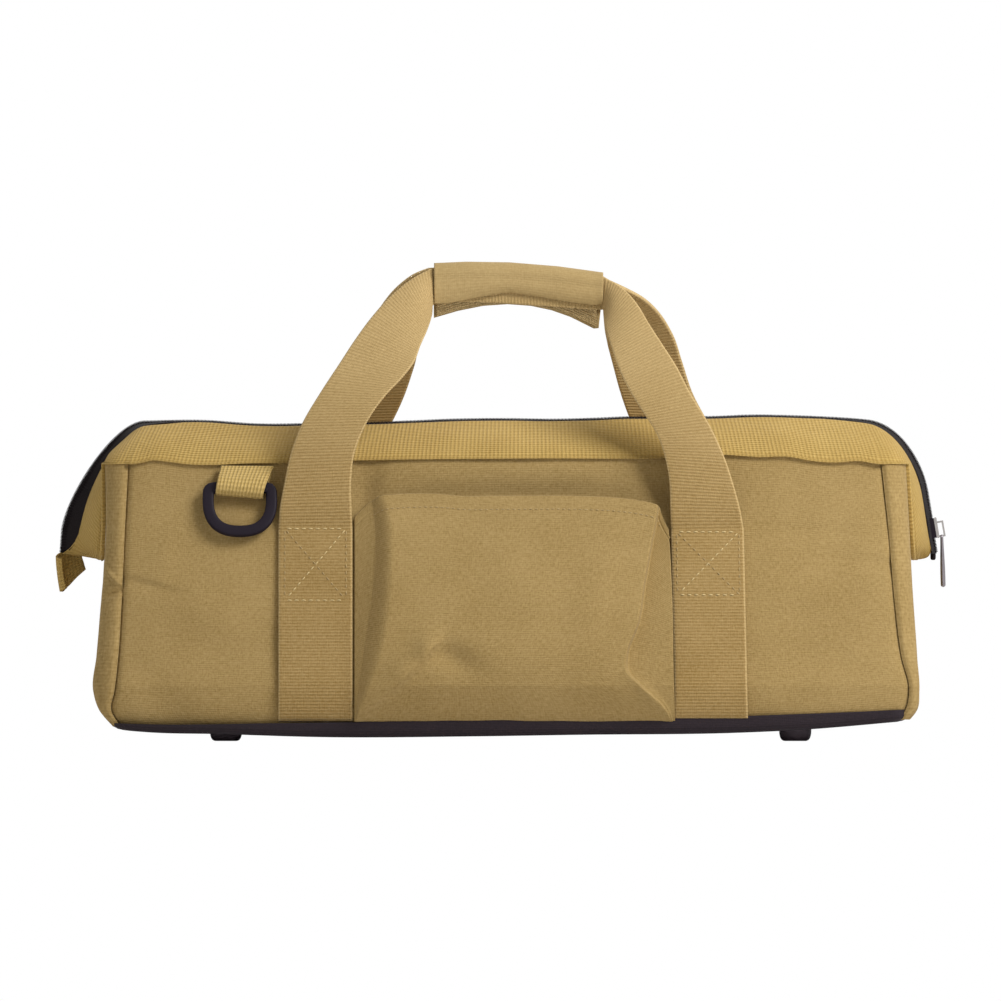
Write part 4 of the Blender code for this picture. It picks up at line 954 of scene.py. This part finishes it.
# Waffle-woven cotton band, yellower than the canvas: a grid of raised threads, about 2.4 mm apart.
waffle = woven("waffle_cotton_band", "#947537", "#caac6a", 2.5, 2.3, 0.30, grain=0.45, mottle=0.4,
               weave_tone=0.11, upright=0.9)
for side, face in ((-1, "front"), (1, "back")):
    points, cloth = band(side)
    piece = skin(f"{face}_band", points, cloth, waffle, None, thick=0.0012, flip=side < 0)
    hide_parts(f"{face}_trim_band")
    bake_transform(piece)


# Frame.
# Two bent steel rods inside the band, one for each half of the mouth, with flat eyes that overlap
# at both ends on a rivet. They hold the mouth square and are hidden while it is shut.

rod_steel = metal("drawn_steel_rod", "#8f8d8c", 0.36)
for node in ("front_frame_bar", "back_frame_bar"):
    dress(node, rod_steel)
for node in ("left_pivot_rivet", "right_pivot_rivet"):
    dress(node, bright_steel)


# Handles.
# Two loops of 2 in cotton webbing, ribbed across, that start under the base, are sewn up the panels
# to a boxed cross of pale thread, and go up to the grip, where they are folded double.

# Both edges of a free strap from its stitching to the grip, in mm: outer x, outer z, inner x,
# inner z, outer y, inner y, and how far the middle bows out.
FRONT_LEFT = np.array([
    (-148.0, 139, -99.8, 139, 69.0, 69.0, 0.0),
    (-147.2, 150, -100.4, 151, 69.0, 69.0, 0.2),
    (-144.0, 168, -100.6, 170, 68.2, 68.4, 0.6),
    (-140.2, 186, -98.5, 187, 67.0, 67.4, 0.8),
    (-133.2, 205, -91.0, 206, 64.6, 65.6, 0.8),
    (-121.0, 226, -79.0, 224, 60.4, 62.2, 0.6),
    (-107.9, 246, -67.0, 237, 53.2, 56.4, 0.6),
    (-97.4, 262, -59.4, 247, 45.0, 50.0, 1.0),
    (-86.2, 277, -55.6, 257, 34.0, 42.0, 2.0),
    (-73.2, 291, -51.2, 267, 22.0, 31.0, 3.0),
    (-60.4, 301, -48.3, 276, 12.0, 18.0, 4.0),
    (-48.0, 307.5, -47.6, 284, 4.5, 7.0, 2.2),
])
FRONT_RIGHT = np.array([
    (154.6, 138, 107.2, 137, 69.0, 69.0, 0.0),
    (152.4, 150, 106.8, 151, 69.0, 69.0, 0.2),
    (147.8, 167, 106.0, 170, 68.2, 68.4, 0.6),
    (141.8, 185, 102.6, 187, 67.0, 67.4, 0.8),
    (132.0, 206, 96.6, 202, 64.4, 65.4, 0.8),
    (120.5, 225, 87.0, 217, 60.0, 62.4, 0.6),
    (110.6, 244, 78.6, 231, 53.0, 57.0, 0.6),
    (101.6, 258, 72.6, 244, 45.6, 50.4, 0.8),
    (93.2, 271, 68.2, 257, 35.0, 42.0, 1.6),
    (84.6, 285, 64.8, 267, 23.0, 31.0, 2.6),
    (75.0, 295, 63.4, 276, 12.6, 18.6, 3.4),
    (64.4, 301, 63.0, 282, 4.5, 7.0, 2.0),
])
BACK_LEFT = np.array([
    (-148.0, 139, -99.0, 139, 69.0, 69.0, 0.0),
    (-146.0, 155, -97.0, 155, 69.0, 69.0, 0.2),
    (-141.0, 172, -91.6, 172, 68.2, 68.2, 0.6),
    (-133.6, 190, -84.0, 190, 66.8, 66.8, 0.8),
    (-124.6, 208, -73.2, 209, 64.4, 64.4, 0.8),
    (-114.8, 226, -65.6, 226, 60.2, 60.2, 0.6),
    (-104.4, 245, -59.4, 245, 53.0, 53.0, 0.6),
    (-95.0, 262, -57.0, 254, 45.0, 46.0, 1.0),
    (-84.0, 279, -53.4, 263, 34.0, 36.0, 2.0),
    (-72.4, 294, -50.2, 271, 22.0, 25.0, 3.0),
    (-60.6, 303.4, -48.0, 277, 12.0, 15.0, 4.0),
    (-48.0, 308.5, -47.6, 284, 4.5, 7.0, 2.2),
])
BACK_RIGHT = np.array([
    (157.6, 139, 108.6, 139, 69.0, 69.0, 0.0),
    (153.6, 155, 104.0, 155, 69.0, 69.0, 0.2),
    (147.6, 172, 97.0, 172, 68.2, 68.2, 0.6),
    (140.0, 190, 89.0, 190, 66.8, 66.8, 0.8),
    (130.8, 208, 80.6, 209, 64.4, 64.4, 0.8),
    (121.4, 226, 74.6, 226, 60.2, 60.2, 0.6),
    (114.4, 247, 69.4, 245, 53.0, 53.0, 0.6),
    (108.2, 265, 65.8, 259, 43.0, 46.0, 1.0),
    (99.4, 279, 64.2, 267, 33.0, 36.0, 2.0),
    (90.0, 288, 63.6, 273, 22.0, 25.0, 3.0),
    (77.4, 295, 63.2, 278, 12.0, 15.0, 3.4),
    (64.4, 301, 63.0, 282, 4.5, 7.0, 2.0),
])


def smooth_line(table, count):
    """A smooth curve through a table's rows, walked at even lengths."""
    run = lengths(table[:, :4])
    return through(np.linspace(0, run[-1], count), run, table)


def grip_line(x):
    """Height of the grip's middle: 296.5 mm, with a slight bow, 5 mm lower at the right end."""
    share = np.clip((x + 0.047) / 0.111, 0, 1)
    return 0.2965 + 0.0012 * np.sin(np.pi * share) - 0.005 * eased(share)


def leg_rows(outer_x, inner_x, lean):
    """Edges of the stretch that is sewn to the panel, from under the base to the stitching."""
    z = np.linspace(12.5, 139, 40)
    off = (half_depth(z * MM) / MM) + 3.0
    off[0] -= 1.2
    shift = lean * (1 - z / 139)
    return np.column_stack([outer_x + shift, z, inner_x + shift, z, off, off, 0 * z])


def handle(face):
    """A whole handle as one ribbon: left leg, left free strap, the folded part in the grip, and the
    right side back down. Each station has an outer and an inner edge, and the strap spans them
    with a parabola's bow."""
    left, right = (FRONT_LEFT, FRONT_RIGHT) if face < 0 else (BACK_LEFT, BACK_RIGHT)
    grip_x = np.linspace(-0.046, 0.062, 24)
    middle, half_high = grip_line(grip_x) / MM, 11.3
    grip = join(grip_x / MM, middle + half_high, grip_x / MM, middle - half_high, 5, 5, 0.5)
    legs = [leg_rows(left[0, 0], left[0, 2], 0.0), leg_rows(right[0, 0], right[0, 2], 3.0)]
    table = np.concatenate([legs[0][:-1], smooth_line(left, 90)[:-1], grip,
                            smooth_line(right, 90)[:-1][::-1], legs[1][:-1][::-1]])
    t = np.linspace(0, 1, 25)[:, None]
    outer = join(table[:, 0], face * table[:, 4], table[:, 1]) * MM
    inner = join(table[:, 2], face * table[:, 5], table[:, 3]) * MM
    bow = face * table[:, 6] * MM * (1 - (2 * t - 1) ** 2)
    points = mix(outer[None], inner[None], t[..., None])
    points[..., 1] += bow
    return points, join(mix(-0.0245, 0.0245, t), lengths((outer + inner) / 2))


# Cotton webbing: heavy weft ribs 2.1 mm apart run across it, and its selvedges are paler.
# Its colour goes from dark at 140 mm to pale at 250 mm up: painted shade on the stretch sewn to the
# panel and painted light on the free straps, which lean back towards the top lamp.
webbing = woven("cotton_webbing", "#8b7040", "#c3a877", 1.5, 2.1, 0.19, grain=0.6, mottle=0.35,
                weave_tone=0.10, upright=0.12, selvedge=23.3, sewn=(140, 250))
for side, face in ((-1, "front"), (1, "back")):
    points, cloth = handle(side)
    piece = skin(f"{face}_webbing_handle", points, cloth, webbing, None, thick=0.0023,
                 flip=side < 0)
    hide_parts(f"{face}_handle_loop", f"{face}_left_handle_leg",
                f"{face}_right_handle_leg")
    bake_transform(piece)


pale_thread = thread_finish("pale_cotton_thread", "#d8c08a")
tan_thread = thread_finish("tan_cotton_thread", "#b89e6c")


def boxed_cross(face, left, right, low, high, tilt):
    """Paths of a boxed cross of stitches on a leg: its four sides and its two diagonals."""
    corners = {"a": (left, high), "b": (right, high), "c": (left + tilt, low),
               "d": (right + tilt, low)}
    for start, end in ("ab", "cd", "bc", "ad", "ac", "bd"):
        line = np.linspace(corners[start], corners[end], 60) * MM
        y = face * (half_depth(line[:, 1]) + 0.0031)
        yield join(line[:, 0], y, line[:, 1])


LEFT_BOX, RIGHT_BOX = (-143.7, -103.8, 91.5, 138.0, 0.0), (111.0, 151.5, 95.0, 136.0, 0.6)
for side, face in ((-1, "front"), (1, "back")):
    for end, box in (("left", LEFT_BOX), ("right", RIGHT_BOX)):
        for number, line in enumerate(boxed_cross(side, *box)):
            normal = np.tile((0, side * 1.0, 0.35), (len(line), 1))
            thread, radius = (pale_thread, 0.00042) if number < 3 else (tan_thread, 0.00034)
            thread_row(f"{face}_{end}_box_stitches_{number + 1}", line, normal, 0.0046, 0.0032,
                       radius, thread, "bag")


# Grip.
# One piece of canvas wrapped round both handles: it is sewn to the back one, goes over the top and
# closes at the front on a brushed strip, whose edge shows below the flap.


# The arched lower edge of the grip's tail, and of its flap, in mm.
TAIL_X = (-46.8, -31, -15, 1, 17, 31, 44, 60, 64)
TAIL_Z = (275.0, 279.6, 282.8, 283.9, 282.8, 280.0, 275.6, 268.0, 268.5)
FLAP_X = (-46.8, -37, -24, -10, 1, 12, 26, 42, 57, 64)
FLAP_Z = (284.0, 284.4, 287.0, 289.7, 291.3, 290.2, 287.8, 285.0, 283.2, 284.0)


def grip_cloth():
    """The wrap: across runs from the hanging tail at the back, up, over the top and down the front
    to the flap's edge."""
    x = np.linspace(-0.0468, 0.0632, 100)
    share = (x + 0.0468) / 0.110
    tail = np.interp(x / MM, TAIL_X, TAIL_Z) * MM
    flap = np.interp(x / MM, FLAP_X, FLAP_Z) * MM
    top = np.interp(x / MM, (-46.8, -26, 2, 34, 63), (310.7, 311.6, 311.2, 308.6, 304.6)) * MM
    side_top = top - 0.0147 + 0.004
    half_thick = 0.0082
    rows = []
    for t in np.linspace(0, 1, 16):
        drawn_in = x - 0.0030 * (1 - t) * np.clip(x / 0.0632, 0, 1)
        y = mix(0.0030, half_thick, eased(t * 1.6))
        rows.append(join(drawn_in, y, mix(tail, side_top, t)))
    for angle in np.linspace(0, math.pi, 25)[1:-1]:
        y = half_thick * math.cos(angle) * (1 + 0.10 * abs(math.sin(2 * angle)))
        rows.append(join(x, y, side_top + 0.0107 * abs(math.sin(angle)) ** 0.75))
    for t in np.linspace(0, 1, 20):
        y = -half_thick - 0.0006 * math.sin(math.pi * t) + 0.0010 * t ** 3
        rows.append(join(x, y, mix(side_top, flap, t)))
    points = np.array(rows)
    end_flare = 0.0006 * (bell(share, 0.03) + bell(1 - share, 0.03))
    slack = 0.0005 * ripple(points[..., 0], points[..., 2], 31, 0.04)
    points[..., 1] += np.sign(points[..., 1]) * (slack + end_flare)
    return points


# The same canvas, painted paler: painted light on the grip, which sits on top of the bag under the
# top lamp.
lit_grip_canvas = woven("painted_light_cotton_canvas", "#8a7144", "#c6ad7c", 1.3, 1.5, 0.04, grain=0.4,
                      mottle=0.3, weave_tone=0.03)
points = grip_cloth()
piece = skin("grip_canvas", points, flat_cloth(points), lit_grip_canvas, None, thick=0.0015,
             flip=True)
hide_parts("grip_wrap", "grip_flap")
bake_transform(piece)


def brushed_strip():
    """The closing strip on the inner side of the tail: it follows the tail's lower edge, 15 mm
    high, with a slightly ragged pile."""
    x, v = np.meshgrid(np.linspace(-0.0452, 0.0590, 220), np.linspace(0, 1, 30))
    z = np.interp(x / MM, TAIL_X, TAIL_Z) * MM + 0.0006 + 0.0150 * v
    y = 0.0006 + 0.0012 * v - 0.0006 * np.sqrt(np.sin(np.pi * np.clip(v, 0.02, 0.98)))
    return join(x, y + 0.00015 * ripple(x, z, 51, 0.003), z)


# Brushed loop: a matt pile with a coarse fleck, 1.5 mm across.
brushed = woven("brushed_loop", "#8c7245", "#e2c997", 1.7, 1.5, 0.3, grain=0.9, mottle=0.3,
                weave_tone=0.1)
points = brushed_strip()
piece = skin("grip_closing_strip", points, flat_cloth(points), brushed, "handle_back", thick=0.0010)


# Front pocket.
# A bellows pocket of the same canvas between the handles: its hem is turned and stitched, its sides
# fold in as gussets, soft on the left and creased on the right, and its lower corners pull into
# folds.

# Six lines of the pocket from side seam to side seam, at these heights: x in mm of the left seam,
# the middle of the left gusset, the left fold, the right crease, its foot and the right seam.
POCKET_Z = np.array([12, 20, 35, 45, 55, 78, 100, 125, 145, 155, 162])
POCKET_X = np.array([
    (-98.5, -98.5, -98.5, -98.5, -98.5, -98.5, -98.5, -98.5, -98.7, -98.8, -99),
    (-98, -97.4, -96, -94.4, -93, -89.5, -86.5, -84.8, -85.4, -87, -88.5),
    (-97, -94.6, -88, -84, -80.5, -75.6, -73.8, -73.2, -74, -76.5, -80),
    (107, 103.5, 88, 78.5, 77.8, 85.5, 88.8, 93.2, 97.2, 98.5, 99.5),
    (108.3, 105, 90.4, 80.8, 80, 87.6, 90.8, 95.2, 99, 100.2, 101),
    (109.9, 109.7, 109.3, 109, 108.8, 108.4, 107.7, 106.4, 104.8, 104, 103.5),
]).T
# How far each line stands off the panel, in mm.
POCKET_OFF = np.array([
    (1.2, 1.2, 1.2, 1.2, 1.2, 1.2, 1.2, 1.2, 1.2, 1.2, 1.2),
    (1.2, 1.4, 2.6, 3.8, 5.0, 6.6, 7.2, 7.2, 6.4, 5.4, 4.0),
    (1.5, 4.0, 9.5, 12.5, 15.5, 18.0, 18.0, 17.5, 15.5, 13.0, 10.0),
    (1.5, 4.0, 10.5, 13.5, 15.0, 15.5, 15.0, 14.0, 12.5, 10.0, 6.5),
    (1.5, 2.6, 5.0, 6.0, 6.0, 5.6, 5.2, 4.6, 4.0, 3.4, 3.0),
    (1.6, 2.2, 4.0, 5.5, 6.5, 7.5, 7.5, 7.0, 6.0, 5.0, 4.0),
]).T
# Folds in the main face, as in FRONT_HOLLOWS. The first three are the ridge that runs up from the
# lower left corner, and the fourth is the hollow right of it.
POCKET_HOLLOWS = np.array([
    (-86, 26, 38, 15, 9, 4, -4.0),
    (-66, 43, 42, 15, 11, 4, -6.0),
    (-50, 60, 52, 10, 10, 3.5, -6.0),
    (-35, 54, -20, 16, 9, 9, 4.5),
    (5, 34, 6, 50, 12, 14, 1.2),
    (94, 29, -45, 18, 4, 4, -1.8),
    (20, 150, 2, 60, 4, 6, -0.8),
    (60, 100, 70, 40, 12, 12, -0.8),
    (-20, 108, -60, 36, 14, 14, 0.8),
])
# Height of the pocket's lip in mm, by share of its width.
LIP_SHARE = (0, 0.0455, 0.09, 0.198, 0.263, 0.32, 0.355, 0.45, 0.65, 0.745, 0.816, 0.851, 0.89,
             0.94, 1)
LIP_Z = (146, 153.5, 157.3, 160.6, 161.2, 160.6, 159.6, 159.6, 159.6, 158.6, 156.4, 154.4, 150.2,
         145.0, 138)


def pocket_lip(share):
    """Height of the pocket's top edge from left seam to right seam."""
    return through(share, LIP_SHARE, LIP_Z) * MM


def pocket_cloth():
    """Height is blended between the base and the lip, and across it the face is drawn through the
    six lines: smooth through the left fold, sharp at the right crease. y is the panel's, plus
    how far the lines stand off, less the folds."""
    t, v = np.meshgrid(np.linspace(0, 1, 301), np.linspace(0, 1, 181))
    z = mix(0.0125, pocket_lip(t), v)
    lines, offs = through(z / MM, POCKET_Z, POCKET_X), through(z / MM, POCKET_Z, POCKET_OFF)
    knots = (0, 0.07, 0.17, 0.86, 0.875, 1.0)
    x, off = np.zeros_like(t), np.zeros_like(t)
    for k in range(5):
        inside = (t >= knots[k]) & (t <= knots[k + 1])
        share = np.clip((t - knots[k]) / (knots[k + 1] - knots[k]), 0, 1)
        bent = (share, np.sin(np.pi / 2 * share), share, eased(share), share)[k]
        x = np.where(inside, mix(lines[..., k], lines[..., k + 1], share), x)
        crown = np.sin(np.pi * share) * np.sin(np.pi * np.clip((z / MM - 12) / 150, 0, 1))
        puff = 2.2 * crown if k == 2 else 0
        off = np.where(inside, mix(offs[..., k], offs[..., k + 1], bent) + puff, off)
    face = eased((t - 0.06) / 0.10) * eased((0.93 - t) / 0.05)
    off = off * MM - hollows(x * MM, z, POCKET_HOLLOWS) * np.clip(face + 0.3, 0, 1)
    off = off + 0.0005 * ripple(x * MM, z, 41, 0.05) * face
    off = np.maximum(off, 0.0010)
    hem = bell(z - (pocket_lip(t) - 0.0065), 0.0007) * 0.0006
    y = -(half_depth(z) + 0.0016 + off - hem)
    return join(x * MM, y, z)


points = pocket_cloth()
piece = skin("pocket_canvas", points, flat_cloth(points), canvas, "bag", thick=0.0014)
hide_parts("front_pocket")
hem_row = points[-12, 18:-18] + np.array([0, -0.0002, 0])
hem_normal = np.tile((0, -1.0, 0.2), (len(hem_row), 1))
thread_row("pocket_hem_stitches", hem_row, hem_normal, 0.0036, 0.0026, 0.0003, tan_thread, "bag")


# D-ring and its tab.
# A moulded black nylon ring, flat in section, that hangs in a folded loop of ribbed cotton webbing,
# sewn under the hem.


BAR_X, BAR_Z, BAR_OFF = -0.173, 0.1645, 0.0064


def on_ring(x, out, up):
    """Places in the ring's own plane: up runs up the panel from the bar, out stands off it."""
    below = 0.029 / 3
    slope = math.atan2(half_depth(BAR_Z - below) - half_depth(BAR_Z), below)
    return join(BAR_X + x,
                -half_depth(BAR_Z) - BAR_OFF - out * math.cos(slope) + up * math.sin(slope),
                BAR_Z + up * math.cos(slope) + out * math.sin(slope))


def ring_plastic():
    """The ring: a flat section with rounded edges, 7.4 mm wide and 4.6 mm deep, carried round a D
    of a straight bar, two short sides and half of a squarish ellipse."""
    half, shoulder, drop = 0.0206, 0.008, 0.0305
    bow = np.linspace(0, math.pi, 60)
    line = [(half - 0.004, 0.0), (half - 0.0014, -0.0006), (half - 0.0002, -0.0024)]
    line += [(half * squared(math.cos(a), 0.8),
              -shoulder - (drop - shoulder) * math.sin(a) ** 0.8) for a in bow]
    line += [(-half + 0.0002, -0.0024), (-half + 0.0014, -0.0006), (-half + 0.004, 0.0)]
    line = walked(np.array(line + line[:1]), 141)[:-1]
    ahead = np.roll(line, -1, axis=0) - np.roll(line, 1, axis=0)
    ahead /= np.linalg.norm(ahead, axis=1, keepdims=True)
    side_way = join(ahead[:, 1], -ahead[:, 0])
    angle = np.linspace(0, 2 * math.pi, 24, endpoint=False)
    wide, deep = 0.0037 * squared(np.cos(angle), 0.5), 0.0023 * squared(np.sin(angle), 0.5)
    flat = line[:, None, :] + side_way[:, None, :] * wide[:, None]
    return on_ring(flat[..., 0], deep, flat[..., 1])


ring_nylon = moulded("moulded_nylon", "#211b24", 0.5, grain=1500.0, relief=0.02, shine=0.10)
points = ring_plastic()
points = np.concatenate([points, points[:1]])
piece = skin("nylon_d_ring", points, rolled(points, 0.02, 0.13), ring_nylon, "ring", wrap=True,
             flip=True)
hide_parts("d_ring")


def ring_tab():
    """The tab: webbing that comes down the front, wraps the bar and goes back up behind it."""
    reach = 0.00475
    line = [(-0.0036, 0.0160), (-0.0018, 0.0125), (0.0016, 0.0072), (0.0042, 0.0032), (reach, 0.0)]
    turn = np.radians(np.arange(-15, -166, -15))
    line += [(reach * math.cos(a), reach * math.sin(a)) for a in turn]
    line += [(-reach, 0.0), (-reach, 0.004), (-reach * 1.1, 0.0125)]
    line = walked(np.array(line), 60)
    high = np.clip(line[:, 1:] / 0.0175, -0.3, 1)
    t = np.linspace(-1, 1, 17)[None]
    x = t * mix(0.0158, 0.0172, high) + mix(0.0008, 0.0052, high)
    points = on_ring(x, line[:, :1], line[:, 1:] - 0.0012 * t * (1 - high))
    return points, join(t * 0.0155, np.linspace(0, 0.045, 60)[:, None])


# Tab webbing: the same cotton as the band, with bold ribs across it.
tab_webbing = woven("ribbed_tab_webbing", "#9f8244", "#d6b979", 2.2, 2.6, 0.32, grain=0.4,
                    weave_tone=0.11, upright=1.5)
points, cloth = ring_tab()
piece = skin("ring_tab", points, cloth, tab_webbing, "bag", thick=0.0013)
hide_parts("d_ring_tab")


# Left end tab.
# A short piece of the band's own webbing, sewn in over the zip's left end to hold while the zip
# runs. It is folded forward, and its folded edge is at the left.


def end_tab():
    """A ribbon bent in plan as a narrow U that opens to the right: from its front lip round the
    fold at the left and back. Its lower edge rises to the back, and it leans in as it hangs."""
    plan = walked(np.array([(-288.6, -9.4), (-290.4, -9.0), (-292.0, -7.4), (-292.8, -4.8),
                            (-291.6, -1.8), (-288.2, 1.2), (-282.8, 3.6), (-275.6, 5.0)]), 60) * MM
    share, knots = np.linspace(0, 1, 60), np.linspace(0, 1, 6)
    top = np.interp(share, knots, (118.6, 119.6, 122.0, 124.4, 123.8, 121.0)) * MM
    low = np.interp(share, knots, (99.2, 97.2, 97.0, 101.2, 106.8, 111.6)) * MM
    t = np.linspace(0, 1, 24)[:, None]
    points = join(plan[:, 0] + 0.0026 * t ** 1.6, plan[:, 1] + 0.0016 * np.sin(np.pi * t),
                  mix(top, low, t))
    return points, join(share * 0.030, t * 0.022)


points, cloth = end_tab()
piece = skin("left_webbing_tab", points, cloth, waffle, "bag", thick=0.0014)
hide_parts("left_end_tab")


# Inner pockets.
# A strip of dark lining cloth on the inside of each panel, sewn down between its cells, which stand
# open at the top for tools.

lining = woven("lining_cloth", "#35302d", "#54504c", 1.2, 1.2, 0.08, grain=0.5, rough=0.85)


def inner_strip(face):
    """Four cells: the strip stands off the panel by a sine across each cell, most at its top."""
    u, v = np.meshgrid(np.linspace(0, 4, 161), np.linspace(0, 1, 30))
    z = mix(0.038, 0.110, v)
    off = 0.016 * np.abs(np.sin(np.pi * u)) * mix(0.5, 1, v)
    return join(mix(-0.225, 0.225, u / 4), face * (half_depth(z) - 0.0030 - off), z)


for side, face in ((-1, "front"), (1, "back")):
    points = inner_strip(side)
    piece = skin(f"{face}_inner_strip", points, flat_cloth(points), lining, "bag", thick=0.0007,
                 flip=side < 0)
    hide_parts(f"{face}_inner_pockets")
